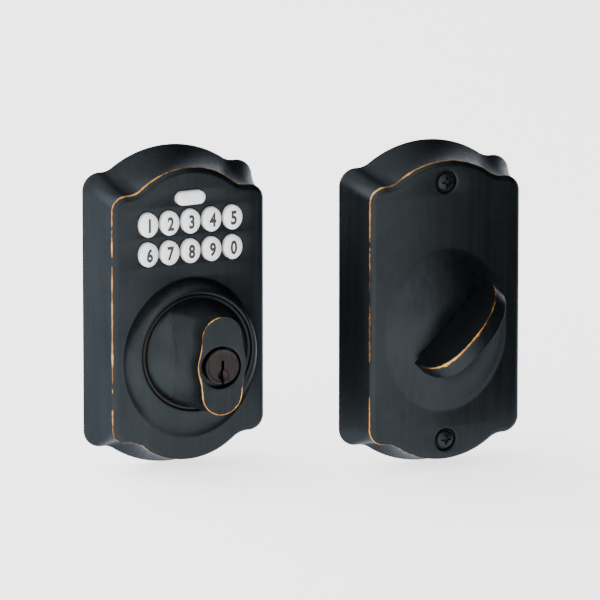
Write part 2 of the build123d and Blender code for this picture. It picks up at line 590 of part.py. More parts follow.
with BuildPart() as plate_screws:
    extrude(circles_face(facing(PLATE_BACK - 0.7), 2.3, PLATE_STUD_CENTRES), amount=0.7)
    extrude(circles_face(facing(PLATE_BACK), 1.05, PLATE_STUD_CENTRES), amount=7)
    for x, z in PLATE_STUD_CENTRES:
        extrude(rectangle_face(facing(PLATE_BACK - 0.7, x, z), 2.8, 0.6), amount=0.4, mode=Mode.SUBTRACT)
        extrude(rectangle_face(facing(PLATE_BACK - 0.7, x, z), 0.6, 2.8), amount=0.4, mode=Mode.SUBTRACT)
finish(plate_screws, "plate_screws")

with BuildPart() as back_gasket:
    extrude(plate_face(out_plane(0), shrink(BACK, 2.8)), amount=PLATE_BACK)
    extrude(plate_face(out_plane(0), shrink(BACK, 5.6)), amount=PLATE_BACK, mode=Mode.SUBTRACT)
finish(back_gasket, "back_gasket")

# ================================ Inside half =========================================================

IN_BACK = scaled(BACK, INSIDE_SCALE)
IN_EDGE_DEPTH = 19.9          # the cover is a little shallower than the housing
IN_FRONT = IN_EDGE_DEPTH + BEVEL_DEPTH
IN_CEILING = IN_FRONT - WALL
DOME_TOP = IN_FRONT + DOME_RISE
DOME_MID_Z = THUMB_Z - 2.4
STEM_R = 6.0
RECESS_R = 4.9
RECESS_DEPTH = 1.2
COVER_SCREWS = [(0, COVER_SCREW_Z), (0, -COVER_SCREW_Z)]

with BuildPart() as interior_cover:
    extrude(plate_face(in_plane(0), IN_BACK), amount=RIM_DEPTH)
    loft(cove_sections(in_plane, shrink(IN_BACK, 0.35), IN_EDGE, IN_EDGE_DEPTH, 0))
    loft([plate_face(in_plane(IN_EDGE_DEPTH), IN_EDGE),
          plate_face(in_plane(IN_FRONT), shrink(IN_EDGE, BEVEL))], ruled=True)
    loft([ellipse_face(inside(IN_FRONT - 0.5, DOME_MID_Z), DOME_WIDE, DOME_TALL),
          ellipse_face(inside(IN_FRONT + DOME_RISE * 0.62, DOME_MID_Z), DOME_WIDE - 7, DOME_TALL - 9),
          ellipse_face(inside(DOME_TOP, THUMB_Z), 11, 12)])
    extrude(plate_face(in_plane(0), shrink(IN_BACK, WALL)), amount=RIM_DEPTH, mode=Mode.SUBTRACT)
    loft(cove_sections(in_plane, IN_BACK, blend(IN_EDGE, shrink(IN_EDGE, BEVEL), 0.3), IN_CEILING, WALL),
         mode=Mode.SUBTRACT)
    extrude(circles_face(in_plane(IN_FRONT - RECESS_DEPTH - 2.6), RECESS_R + 1.2, COVER_SCREWS),
            amount=2.6)
    extrude(circles_face(in_plane(IN_FRONT - RECESS_DEPTH), RECESS_R, COVER_SCREWS), amount=3,
            mode=Mode.SUBTRACT)
    extrude(circles_face(in_plane(IN_CEILING - 3), 2.3, COVER_SCREWS), amount=6, mode=Mode.SUBTRACT)
    extrude(circle_face(inside(IN_CEILING - 1), STEM_R + RUN_GAP), amount=DOME_RISE + WALL + 2,
            mode=Mode.SUBTRACT)
finish(interior_cover, "interior_cover")

# Thumbturn: a half-moon plate on a round stem that runs through the dome.
THUMB_BASE = DOME_TOP + FREE_GAP
THUMB_AXES = Plane(origin=(INSIDE_X, INSIDE_DOOR_Y - THUMB_BASE, THUMB_Z),
                   x_dir=(cos(THUMB_ANGLE * pi / 180), 0, sin(THUMB_ANGLE * pi / 180)),
                   z_dir=(sin(THUMB_ANGLE * pi / 180), 0, -cos(THUMB_ANGLE * pi / 180)))
STEM_END = IN_CEILING - 3.4

with BuildPart() as thumbturn:
    with BuildSketch(THUMB_AXES):
        with BuildLine():
            Line((-THUMB_LONG / 2, 0), (THUMB_LONG / 2, 0))
            Spline((THUMB_LONG / 2, 0), (THUMB_LONG * 0.36 - THUMB_LEAN * 0.64, THUMB_TALL * 0.8),
                   (-THUMB_LEAN, THUMB_TALL), (-THUMB_LONG * 0.36 - THUMB_LEAN * 0.64, THUMB_TALL * 0.8),
                   (-THUMB_LONG / 2, 0), tangents=[(0, 1), (0, -1)])
        make_face()
    extrude(amount=THUMB_THICK / 2, both=True)
    extrude(circle_face(inside(STEM_END), STEM_R), amount=THUMB_BASE - STEM_END + 1)
finish(thumbturn, "thumbturn")

SPINDLE_R = 4.6

with BuildPart() as thumb_spindle:
    extrude(circle_face(inside(-1.0), SPINDLE_R), amount=STEM_END + 1.0)
    extrude(circle_face(inside(3.6), 8.0), amount=2.0)
    extrude(rectangle_face(inside(-1.0), BLADE_WIDE + 0.3, BLADE_THICK + 0.3), amount=STEM_END - 1.0,
            mode=Mode.SUBTRACT)
finish(thumb_spindle, "thumb_spindle")

CLIP_FORWARD = IN_CEILING - 1.6

with BuildPart() as thumb_washer:
    extrude(circle_face(inside(CLIP_FORWARD + 0.9), 9.5, STEM_R + RUN_GAP), amount=0.5)
finish(thumb_washer, "thumb_washer")

with BuildPart() as thumb_clip:
    extrude(circle_face(inside(CLIP_FORWARD), 8.2, STEM_R + 0.02), amount=0.8)
    extrude(rectangle_face(inside(CLIP_FORWARD), 5.0, 12.0, (0, -8)), amount=0.8, mode=Mode.SUBTRACT)
finish(thumb_clip, "thumb_clip")

# ---- Support plate, battery and fasteners ------------------------------------------------------------------
IN_BOLT_CENTRES = [(-BOLT_SPACING / 2, 0), (BOLT_SPACING / 2, 0)]
BATTERY_LONG = 46.4
BATTERY_TALL = 26.2
BATTERY_DEEP = 17.0
BATTERY_Z = 31.5
BATTERY_X = 3.0
BATTERY_BACK = 1.2
SNAP_LONG = 4.6

with BuildPart() as support_plate:
    extrude(plate_face(in_plane(PLATE_BACK), shrink(IN_BACK, PLATE_INSET)), amount=PLATE_THICK)
    extrude(circle_face(inside(PLATE_BACK), SPINDLE_R + RUN_GAP), amount=PLATE_THICK, mode=Mode.SUBTRACT)
    extrude(circles_face(inside(PLATE_BACK), BOLT_SHOULDER_R + 0.15, IN_BOLT_CENTRES), amount=PLATE_THICK, mode=Mode.SUBTRACT)
    extrude(circles_face(in_plane(PLATE_BACK), 2.0, COVER_SCREWS), amount=PLATE_THICK, mode=Mode.SUBTRACT)
    extrude(rectangle_face(inside(PLATE_BACK), BATTERY_LONG + SNAP_LONG + 4.4, BATTERY_TALL + 2.6,
                           (0.6, BATTERY_Z)), amount=PLATE_THICK, mode=Mode.SUBTRACT)
    extrude(rectangle_face(inside(PLATE_BACK), WINDOW_WIDE, WINDOW_TALL, (0, IN_WINDOW_Z), 2),
            amount=PLATE_THICK, mode=Mode.SUBTRACT)
finish(support_plate, "support_plate")

with BuildPart() as battery_tray:
    extrude(rectangle_face(inside(0.2), BATTERY_LONG + SNAP_LONG + 4.0, BATTERY_TALL + 2.2,
                           (0.6, BATTERY_Z), 1.5), amount=9.0)
    extrude(rectangle_face(inside(BATTERY_BACK), BATTERY_LONG + SNAP_LONG + 2.0, BATTERY_TALL + 0.2,
                           (0.6, BATTERY_Z), 1.0), amount=9.0, mode=Mode.SUBTRACT)
finish(battery_tray, "battery_tray")

with BuildPart() as battery:
    extrude(rectangle_face(inside(BATTERY_BACK), BATTERY_LONG, BATTERY_TALL, (BATTERY_X, BATTERY_Z), 2.0),
            amount=BATTERY_DEEP)
finish(battery, "battery")

BATTERY_END = INSIDE_X + BATTERY_X - BATTERY_LONG / 2
SNAP_MID_FORWARD = BATTERY_BACK + BATTERY_DEEP / 2
SNAP_PLANE = Plane((BATTERY_END, INSIDE_DOOR_Y - SNAP_MID_FORWARD, THUMB_Z + BATTERY_Z), x_dir=(0, 1, 0),
                   z_dir=(-1, 0, 0))
TERMINAL_CENTRES = [(0, -6.35), (0, 6.35)]

with BuildPart() as battery_snap:
    extrude(rectangle_face(SNAP_PLANE.offset(2.2), 12.0, 24.0, (0, 0), 4.0), amount=2.4)
finish(battery_snap, "battery_snap")

with BuildPart() as battery_terminals:
    extrude(circles_face(SNAP_PLANE, 2.9, TERMINAL_CENTRES), amount=2.2)
finish(battery_terminals, "battery_terminals")

POST_HEIGHT = IN_FRONT - RECESS_DEPTH - 2.8 - PLATE_FRONT

with BuildPart() as cover_posts:
    extrude(circles_face(in_plane(PLATE_FRONT), 3.4, COVER_SCREWS), amount=POST_HEIGHT)
    extrude(circles_face(in_plane(PLATE_BACK), 1.95, COVER_SCREWS), amount=2.4)
    extrude(circles_face(in_plane(PLATE_FRONT + 4), 1.6, COVER_SCREWS), amount=POST_HEIGHT,
            mode=Mode.SUBTRACT)
finish(cover_posts, "cover_posts")

HEAD_LOW = IN_FRONT - RECESS_DEPTH
HEAD_TALL = 1.7
CROSS_LONG = 4.0
CROSS_WIDE = 0.9

with BuildPart() as cover_screws:
    extrude(circles_face(in_plane(HEAD_LOW), SCREW_HEAD_R, COVER_SCREWS), amount=HEAD_TALL)
    fillet(cover_screws.edges().group_by(Axis.Y)[0], 0.7)
    extrude(circles_face(in_plane(HEAD_LOW - 10), 1.55, COVER_SCREWS), amount=10)
    for x, z in COVER_SCREWS:
        for wide, tall in ((CROSS_LONG, CROSS_WIDE), (CROSS_WIDE, CROSS_LONG)):
            extrude(rectangle_face(inside(HEAD_LOW + HEAD_TALL - 1.1, IN_CENTRE_Z + z, x), wide, tall),
                    amount=2, mode=Mode.SUBTRACT)
finish(cover_screws, "cover_screws")

BOLT_LENGTH = PLATE_FRONT + DOOR_THICK - HUB_PIN_LENGTH + THREAD_GRIP

with BuildPart() as mounting_bolts:
    extrude(circles_face(inside(PLATE_FRONT), 4.2, IN_BOLT_CENTRES), amount=2.6)
    fillet(mounting_bolts.edges().group_by(Axis.Y)[0], 1.0)
    extrude(circles_face(inside(PLATE_FRONT - BOLT_LENGTH), BOLT_R, IN_BOLT_CENTRES), amount=BOLT_LENGTH)
    chamfer(mounting_bolts.edges().group_by(Axis.Y)[-1], 0.6)
    extrude(circles_face(inside(PLATE_BACK - 0.3), BOLT_SHOULDER_R, IN_BOLT_CENTRES),
            amount=PLATE_FRONT - PLATE_BACK + 0.3)
    for x, z in IN_BOLT_CENTRES:
        for wide, tall in ((4.6, 1.0), (1.0, 4.6)):
            extrude(rectangle_face(inside(PLATE_FRONT + 1.2, THUMB_Z + z, x), wide, tall), amount=2,
                    mode=Mode.SUBTRACT)
finish(mounting_bolts, "mounting_bolts")

with BuildPart() as interior_gasket:
    extrude(plate_face(in_plane(0), shrink(IN_BACK, 2.8)), amount=PLATE_BACK)
    extrude(plate_face(in_plane(0), shrink(IN_BACK, 5.6)), amount=PLATE_BACK, mode=Mode.SUBTRACT)
finish(interior_gasket, "interior_gasket")
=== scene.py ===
import json
from math import atan2, cos, exp, pi, radians, sin, sqrt

import bmesh
import bpy
from mathutils import Matrix, Vector
from mathutils.geometry import tessellate_polygon


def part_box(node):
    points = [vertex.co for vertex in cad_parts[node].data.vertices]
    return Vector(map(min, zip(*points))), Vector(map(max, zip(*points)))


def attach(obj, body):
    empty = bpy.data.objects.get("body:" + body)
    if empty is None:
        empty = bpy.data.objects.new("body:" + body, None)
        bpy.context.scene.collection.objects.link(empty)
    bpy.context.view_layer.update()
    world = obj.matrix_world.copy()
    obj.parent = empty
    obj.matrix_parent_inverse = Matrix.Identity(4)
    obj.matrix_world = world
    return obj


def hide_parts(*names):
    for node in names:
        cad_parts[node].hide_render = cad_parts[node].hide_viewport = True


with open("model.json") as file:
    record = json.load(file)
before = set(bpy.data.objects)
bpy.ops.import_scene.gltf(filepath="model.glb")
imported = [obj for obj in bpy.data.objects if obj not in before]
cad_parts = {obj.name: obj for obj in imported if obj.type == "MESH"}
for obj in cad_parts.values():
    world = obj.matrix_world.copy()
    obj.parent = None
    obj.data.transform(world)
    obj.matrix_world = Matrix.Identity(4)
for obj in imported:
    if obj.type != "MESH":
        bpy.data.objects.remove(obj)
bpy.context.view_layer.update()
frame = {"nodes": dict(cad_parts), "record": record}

# Keypad deadbolt trim, outside and inside half side by side. Lengths below are millimetres, and
# Half.at turns them into metres. "Forward" is the distance from a half's own door face to the user.

MM = 0.001


# ================================ Measures ========================================================

BACK = dict(wide=35.8, shoulder=54.8, arch=63.5, corner=6.9, fillet=8.0, flat=1.0)
EDGE = dict(wide=32.0, shoulder=49.2, arch=58.3, corner=6.0, fillet=10.0, flat=0.6)
IN_EDGE = dict(wide=32.0, shoulder=51.4, arch=59.6, corner=6.4, fillet=9.0, flat=0.6)
INSIDE_SCALE = 1.012
IN_BACK = {key: value * INSIDE_SCALE for key, value in BACK.items()}
WALL = 2.4
RIM = 0.9                     # height of the rounded rim at the back of a shell's wall
BEVEL = 2.0
BEVEL_DEPTH = 1.8
EDGE_ROUND = 0.16
COVE_POWER = 1.8
FRONT = 22.6
IN_FRONT = 21.7

KEY_PITCH = 8.86
KEY_A = 3.95
KEY_B = 4.8
KEY_ROWS = (51.0, 39.2)
OVAL_Z = 60.3
OVAL_WIDE = 12.2
OVAL_TALL = 5.4
KEY_GAP = 0.2
KEY_DOME = 0.35

GROOVE_R = 22.9
TURN_R = 21.3
BOSS_A = 28.4
BOSS_B = 32.5
BOSS_DROP = 3.9
POCKET_R = 24.8
POCKET_TOP = 22.8
HUB_R = 12.0
FLANGE_R = 24.3
FLANGE_LOW = 20.9
FLANGE_TOP = 22.5

DOME_A = 26.7
DOME_B = 33.0
DOME_DROP = 3.4
COVER_SCREW_UP = 51.4
STEM_R = 6.0                  # the stem's foot, which the clip and the washer sit round
NECK_R = 2.9                  # and its neck, which passes through the dome hidden under the grip

SPOKES = 160                  # points round a boss or a turn
SLIM = 48                     # points round a key or a screw
FINE = 96                     # points round the key plug, and along the thumbturn
SIDE_STEPS = 26               # points on a quarter of the plate: its side, its corner and its arch
CORNER_STEPS = 14
ARCH_STEPS = 34


class Half:
    """One half's own frame: across from its middle, forward from its door face, and up from the turn."""

    def __init__(self, x, door, z):
        self.x, self.door, self.z = x, door, z

    def at(self, across, forward, up):
        return Vector((self.x + across * MM, self.door - forward * MM, self.z + up * MM))


def middle(node):
    low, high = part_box(node)
    return (low + high) / 2


low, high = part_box("keypad_housing")
OUT_PLATE = Half((low.x + high.x) / 2, high.y, (low.z + high.z) / 2)
OUT = Half(middle("turn_bearing_plate").x, high.y, middle("turn_bearing_plate").z)
low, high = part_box("interior_cover")
IN_PLATE = Half((low.x + high.x) / 2, high.y, (low.z + high.z) / 2)
IN = Half(middle("thumb_spindle").x, high.y, middle("thumb_spindle").z)
KEYS_UP = (OUT.z - OUT_PLATE.z) / MM      # from the middle of the plate to the turn's axis
DOME_UP = (IN.z - IN_PLATE.z) / MM
BOSS_TOP = (OUT.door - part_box("keypad_housing")[0].y) / MM
DOME_TOP = (IN.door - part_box("interior_cover")[0].y) / MM
TURN_FACE = (OUT.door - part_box("outside_turn")[0].y) / MM
THUMB_TIP = (IN.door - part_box("thumbturn")[0].y) / MM
KEY_TOP = (OUT.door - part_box("key_1")[0].y) / MM
KEY_FOOT = (OUT.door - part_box("key_1")[1].y) / MM


# ================================ Mesh building ===================================================

class Shape:
    """Vertices and faces of one closed piece, gathered loop by loop before they become a mesh."""

    def __init__(self, half):
        self.half = half
        self.points, self.wear, self.faces = [], [], []

    def loop(self, points, wear=0.0):
        """Adds a loop of (across, forward, up) points and returns their numbers. Wear may be a list."""
        first = len(self.points)
        self.points += points
        self.wear += list(wear) if hasattr(wear, "__len__") else [wear] * len(points)
        return list(range(first, len(self.points)))

    def bridge(self, one, two):
        count = len(one)
        for k in range(count):
            after = (k + 1) % count
            self.faces.append((one[k], one[after], two[after], two[k]))

    def tube(self, loops):
        for one, two in zip(loops, loops[1:]):
            self.bridge(one, two)

    def fill(self, *loops):
        """Flat face inside the first loop, with the others as holes in it."""
        flat = [i for loop in loops for i in loop]
        outlines = [[Vector((self.points[i][0], self.points[i][2], 0)) for i in loop] for loop in loops]
        self.faces += [tuple(flat[i] for i in corner) for corner in tessellate_polygon(outlines)]

    def cap(self, loop, wear=0.0):
        """Closes a small loop with a fan round its middle."""
        count = len(loop)
        centre = tuple(sum(self.points[i][axis] for i in loop) / count for axis in range(3))
        hub = self.loop([centre], wear)[0]
        for k in range(count):
            self.faces.append((loop[k], loop[(k + 1) % count], hub))

    def close(self, loops):
        """Joins the loops into a tube with both ends closed."""
        self.tube(loops)
        self.cap(loops[0])
        self.cap(loops[-1])

    def build(self, name, material, body, sharp=32):
        mesh = bpy.data.meshes.new(name)
        mesh.from_pydata([self.half.at(*point) for point in self.points], [], self.faces)
        mesh.attributes.new("wear", "FLOAT", "POINT").data.foreach_set("value", self.wear)
        across = [point[0] for point in self.points]
        mesh.attributes.new("across", "FLOAT", "POINT").data.foreach_set("value", across)
        return dress(name, mesh, material, body, sharp)


def dress(name, mesh, material, body, sharp=32):
    """Turns a mesh into a smooth-shaded piece that rides on a CAD body."""
    work = bmesh.new()
    work.from_mesh(mesh)
    bmesh.ops.remove_doubles(work, verts=work.verts, dist=1e-7)
    bmesh.ops.dissolve_degenerate(work, edges=work.edges, dist=1e-8)
    bmesh.ops.recalc_face_normals(work, faces=work.faces)
    for face in work.faces:
        face.smooth = True
    work.to_mesh(mesh)
    work.free()
    mesh.set_sharp_from_angle(angle=radians(sharp))
    mesh.materials.clear()
    mesh.materials.append(material)
    piece = bpy.data.objects.new(name, mesh)
    bpy.context.scene.collection.objects.link(piece)
    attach(piece, body)
    return piece


def carve(piece, *cutters):
    """Cuts other meshes out of a piece, and leaves a plain mesh with no modifier on it."""
    for cutter in cutters:
        step = piece.modifiers.new("carve", "BOOLEAN")
        step.operation, step.solver, step.object = "DIFFERENCE", "EXACT", cutter
    bpy.context.view_layer.update()
    result = bpy.data.meshes.new_from_object(piece.evaluated_get(bpy.context.evaluated_depsgraph_get()))
    piece.modifiers.clear()
    piece.data = result
    piece.data.set_sharp_from_angle(angle=radians(32))
    for cutter in cutters:
        bpy.data.objects.remove(cutter)


def ease(value, low=0.0, high=1.0):
    """Smooth step from 0 to 1 between low and high."""
    share = min(max((value - low) / (high - low), 0.0), 1.0)
    return share * share * (3 - 2 * share)


def ellipse(a, b, forward, up=0.0, across=0.0, count=SLIM):
    turns = [2 * pi * k / count for k in range(count)]
    return [(across + a * cos(t), forward, up + b * sin(t)) for t in turns]


def stadium(wide, tall, forward, up):
    reach, radius = (wide - tall) / 2, tall / 2
    turns = [2 * pi * k / SLIM for k in range(SLIM)]
    return [((reach if cos(t) > 0 else -reach) + radius * cos(t), forward, up + radius * sin(t))
            for t in turns]


def blend(one, two, share):
    return {key: one[key] + (two[key] - one[key]) * share for key in one}


def shrink(shape, inset):
    """Outline moved inwards by a distance, or outwards where the distance is negative."""
    return dict(wide=shape["wide"] - inset, shoulder=shape["shoulder"] - inset, arch=shape["arch"] - inset,
                corner=shape["corner"] - inset, fillet=shape["fillet"] + inset, flat=shape["flat"])


def plate(shape, forward):
    """Arched plate: straight sides, round shoulders and a wide arch at the top and the bottom."""
    wide, shoulder, arch = shape["wide"], shape["shoulder"], shape["arch"]
    corner, fillet = shape["corner"], shape["fillet"]
    fillet_x = wide - corner - shape["flat"]
    drop = shoulder + fillet - arch
    arch_r = (fillet_x**2 - fillet**2 + drop**2) / (2 * (fillet - drop))
    arch_z = arch - arch_r
    swing = atan2(shoulder + fillet - arch_z, fillet_x)
    quarter = [(wide, (shoulder - corner) * k / SIDE_STEPS) for k in range(SIDE_STEPS)]
    turns = [pi / 2 * k / CORNER_STEPS for k in range(CORNER_STEPS + 1)]
    quarter += [(wide - corner + corner * cos(t), shoulder - corner + corner * sin(t)) for t in turns]
    turns = [1.5 * pi + (swing - pi / 2) * k / CORNER_STEPS for k in range(CORNER_STEPS)]
    quarter += [(fillet_x + fillet * cos(t), shoulder + fillet + fillet * sin(t)) for t in turns]
    turns = [swing + (pi / 2 - swing) * k / ARCH_STEPS for k in range(ARCH_STEPS)]
    quarter += [(arch_r * cos(t), arch_z + arch_r * sin(t)) for t in turns]
    top = quarter + [(0.0, arch)] + [(-x, z) for x, z in quarter[:0:-1]]
    return [(x, forward, z) for x, z in top + [(-x, -z) for x, z in top]]


# ================================ Shells ==========================================================

COVE_STEPS = 24
BEVEL_STEPS = 17
INNER_STEPS = 8
COVE_WEAR = 0.5               # how far the wear reaches back from the edge, and forward from it
BEVEL_WEAR = 0.42


def worn_out(x, z, wide, stretches):
    """How worn the front edge is at a place on the plate: most on the left, least on the right."""
    if abs(z) < 46:
        if x > 0:
            return 0.12
        return max(strength * ease(z, low - 2, low + 2) * (1 - ease(z, high - 2, high + 2))
                   for low, high, strength in stretches)
    side = (x + wide) / (2 * wide)
    if z > 0:
        return 0.95 - 0.40 * ease(side, 0.15, 0.75) - 0.25 * ease(side, 0.75, 0.95)
    return 0.62 - 0.40 * ease(side, 0.05, 0.45)


def shell_walls(shape, back, edge, front, ceiling, stretches):
    """Hollow-sided wall with its bevel. Returns the loop where the flat face starts and the inner one."""
    edge_at = front - BEVEL_DEPTH
    loops = [shape.loop(plate(shrink(back, WALL), 0.0)), shape.loop(plate(shrink(back, 0.5), 0.0))]
    loops += [shape.loop(plate(shrink(back, 0.5 * (1 - sin(t))), 0.5 * (1 - cos(t))))
              for t in (pi / 8, pi / 4, 3 * pi / 8, pi / 2)]
    for step in range(COVE_STEPS + 1):
        share = step / COVE_STEPS
        forward = RIM + (edge_at - EDGE_ROUND - RIM) * share
        section = plate(blend(back, edge, 1 - (1 - share) ** COVE_POWER), forward)
        near = exp(-((edge_at - forward) / COVE_WEAR) ** 2)
        loops.append(shape.loop(section, [worn_out(x, z, edge["wide"], stretches) * near
                                          for x, _, z in section]))
    for step in range(BEVEL_STEPS + 1):
        share = (step / BEVEL_STEPS) ** 1.6
        inset = BEVEL * share + EDGE_ROUND * 0.4
        forward = edge_at + BEVEL_DEPTH * (1 - (1 - share) ** 1.9)
        section = plate(shrink(edge, inset), forward)
        near = exp(-(sqrt(inset**2 + (forward - edge_at) ** 2) / BEVEL_WEAR) ** 2)
        loops.append(shape.loop(section, [worn_out(x, z, edge["wide"], stretches) * near
                                          for x, _, z in section]))
    loops.append(shape.loop(plate(shrink(edge, BEVEL + 0.5), front)))
    shape.tube(loops)
    inner = [loops[0]]
    for step in range(INNER_STEPS + 1):
        share = step / INNER_STEPS
        inner.append(shape.loop(plate(shrink(blend(back, edge, 1 - (1 - share) ** COVE_POWER), WALL),
                                      RIM + (ceiling - RIM) * share)))
    shape.tube(inner)
    return loops[-1], inner[-1]


def hill(share, rise, foot, power):
    """Height of a raised boss from its rim, share 0, to its top, share 1, with a soft foot."""
    soft = (sqrt(share**2 + foot**2) - foot) / (sqrt(1 + foot**2) - foot)
    return rise * (1 - (1 - soft) ** power)


def boss_loops(shape, outer, inner, front, rise, foot, power, steps=30):
    """Loops from an ellipse in the face up to a round top. Each ellipse is (half width, half height, up)."""
    loops = []
    for step in range(steps + 1):
        share = (step / steps) ** 1.25
        a, b, up = (one + (two - one) * share for one, two in zip(outer, inner))
        loops.append(shape.loop(ellipse(a, b, front + hill(share, rise, foot, power), up, 0.0, SPOKES)))
    return loops


def hole(shape, outline, front, ceiling):
    """Hole through the face with a softened rim. outline(grow, forward) gives its loop."""
    rim = [shape.loop(outline(grow, front - sink)) for grow, sink in
           ((0.22, 0.0), (0.14, 0.02), (0.05, 0.08), (0.01, 0.16), (0.0, 0.26))]
    rim.append(shape.loop(outline(0.0, ceiling)))
    shape.tube(rim)
    return rim[0], rim[-1]


def outside_shell(material):
    shape = Shape(OUT_PLATE)
    ceiling = FRONT - WALL
    stretches = ((-52, -35, 0.85), (-30, -26, 0.35), (-25, 22, 1.0), (24, 37, 0.62), (36, 60, 0.95))
    face, inner = shell_walls(shape, BACK, EDGE, FRONT, ceiling, stretches)
    up = KEYS_UP
    boss = boss_loops(shape, (BOSS_A, BOSS_B, up - BOSS_DROP), (GROOVE_R + 1.0, GROOVE_R + 1.0, up),
                      FRONT, BOSS_TOP - FRONT, 0.10, 1.9)
    boss += [shape.loop(ellipse(GROOVE_R + out, GROOVE_R + out, BOSS_TOP - sink, up, 0, SPOKES))
             for out, sink in ((0.6, 0.01), (0.3, 0.08), (0.1, 0.26), (0.0, 0.6))]
    boss += [shape.loop(ellipse(r, r, forward, up, 0, SPOKES)) for r, forward in
             ((GROOVE_R, POCKET_TOP), (POCKET_R, POCKET_TOP), (POCKET_R, ceiling))]
    shape.tube(boss)
    outer_holes, inner_holes = [boss[0]], [boss[-1]]
    for row in KEY_ROWS:
        for column in range(5):
            x = (column - 2) * KEY_PITCH
            rims = hole(shape, lambda grow, forward: ellipse(
                KEY_A + KEY_GAP + grow, KEY_B + KEY_GAP + grow, forward, up + row, x), FRONT, ceiling)
            outer_holes.append(rims[0])
            inner_holes.append(rims[1])
    rims = hole(shape, lambda grow, forward: stadium(
        OVAL_WIDE + 2 * (KEY_GAP + grow), OVAL_TALL + 2 * (KEY_GAP + grow), forward, up + OVAL_Z),
        FRONT, ceiling)
    outer_holes.append(rims[0])
    inner_holes.append(rims[1])
    shape.fill(face, *outer_holes)
    shape.fill(inner, *inner_holes)
    piece = shape.build("outside_housing_shell", material, "frame")
    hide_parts("keypad_housing")


def inside_shell(material):
    shape = Shape(IN_PLATE)
    ceiling = IN_FRONT - WALL
    stretches = ((-56, -31, 0.9), (-26, -18, 0.5), (-18, 7, 0.95), (7, 31, 0.66), (31, 60, 0.95))
    face, inner = shell_walls(shape, IN_BACK, IN_EDGE, IN_FRONT, ceiling, stretches)
    dome = boss_loops(shape, (DOME_A, DOME_B, DOME_UP - DOME_DROP),
                      (NECK_R + 1.2, NECK_R + 1.2, DOME_UP), IN_FRONT, DOME_TOP - IN_FRONT, 0.10, 2.4, 36)
    dome += [shape.loop(ellipse(NECK_R + out, NECK_R + out, forward, DOME_UP, 0, SPOKES)) for out, forward in
             ((0.5, DOME_TOP), (0.2, DOME_TOP - 0.12), (0.08, DOME_TOP - 0.4), (0.08, ceiling))]
    shape.tube(dome)
    outer_holes, inner_holes = [dome[0]], [dome[-1]]
    for up in (COVER_SCREW_UP, -COVER_SCREW_UP):
        dish = [shape.loop(ellipse(r, r, IN_FRONT - sink, up)) for r, sink in
                ((5.1, 0), (4.85, 0.03), (4.6, 0.14), (4.4, 0.36), (4.2, 0.7), (4.05, 1.05), (3.9, 1.2),
                 (2.5, 1.2), (2.3, 1.3), (2.3, WALL))]
        shape.tube(dish)
        outer_holes.append(dish[0])
        inner_holes.append(dish[-1])
    shape.fill(face, *outer_holes)
    shape.fill(inner, *inner_holes)
    piece = shape.build("inside_cover_shell", material, "frame")
    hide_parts("interior_cover")


# ================================ Keys ============================================================

def key_top_drop(x, z, a, b):
    """How far a key's crowned top falls away from its middle."""
    return KEY_DOME * ((x / a) ** 2 + (z / b) ** 2)


def key_profile():
    """(share of half width, forward) from the flange up over the rounded edge to the crown."""
    flange = KEY_FOOT + 1.0
    steps = [(1.06, KEY_FOOT), (1.08, KEY_FOOT + 0.1), (1.08, flange - 0.1), (1.06, flange), (1.0, flange)]
    shoulder = KEY_TOP - KEY_DOME - 0.75
    steps += [(1.0, shoulder)]
    steps += [(1 - 0.14 * (1 - cos(t)), shoulder + 0.75 * sin(t) * 0.86) for t in (0.3, 0.6, 0.9, 1.15, 1.35)]
    steps += [(share, KEY_TOP - KEY_DOME * share**2) for share in (0.80, 0.72, 0.6, 0.45, 0.3, 0.15)]
    return steps


def keys(metal, ink):
    rows = ("12345", "67890")
    for row, digits in zip(KEY_ROWS, rows):
        for column, digit in enumerate(digits):
            x = (column - 2) * KEY_PITCH
            shape = Shape(OUT)
            loops = [shape.loop(ellipse(KEY_A * share, KEY_B * share, forward, row, x))
                     for share, forward in key_profile()]
            shape.close(loops)
            key = shape.build(f"key_cap_{digit}", metal, f"key_{digit}", 40)
            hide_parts(f"key_{digit}")
            numeral(digit, x, row, ink)


NUMERAL_TALL = 5.6
NUMERAL_SQUEEZE = 0.74
NUMERAL_BOLD = 0.040          # from 0.044 up the outlines cross and parts of the digits drop out


def split_long_edges(mesh, longest):
    """Divides long edges until the mesh can follow a curved face."""
    work = bmesh.new()
    work.from_mesh(mesh)
    for _ in range(4):
        long_edges = [edge for edge in work.edges if edge.calc_length() > longest]
        bmesh.ops.subdivide_edges(work, edges=long_edges, cuts=1)
        bmesh.ops.triangulate(work, faces=work.faces)
    work.to_mesh(mesh)
    work.free()


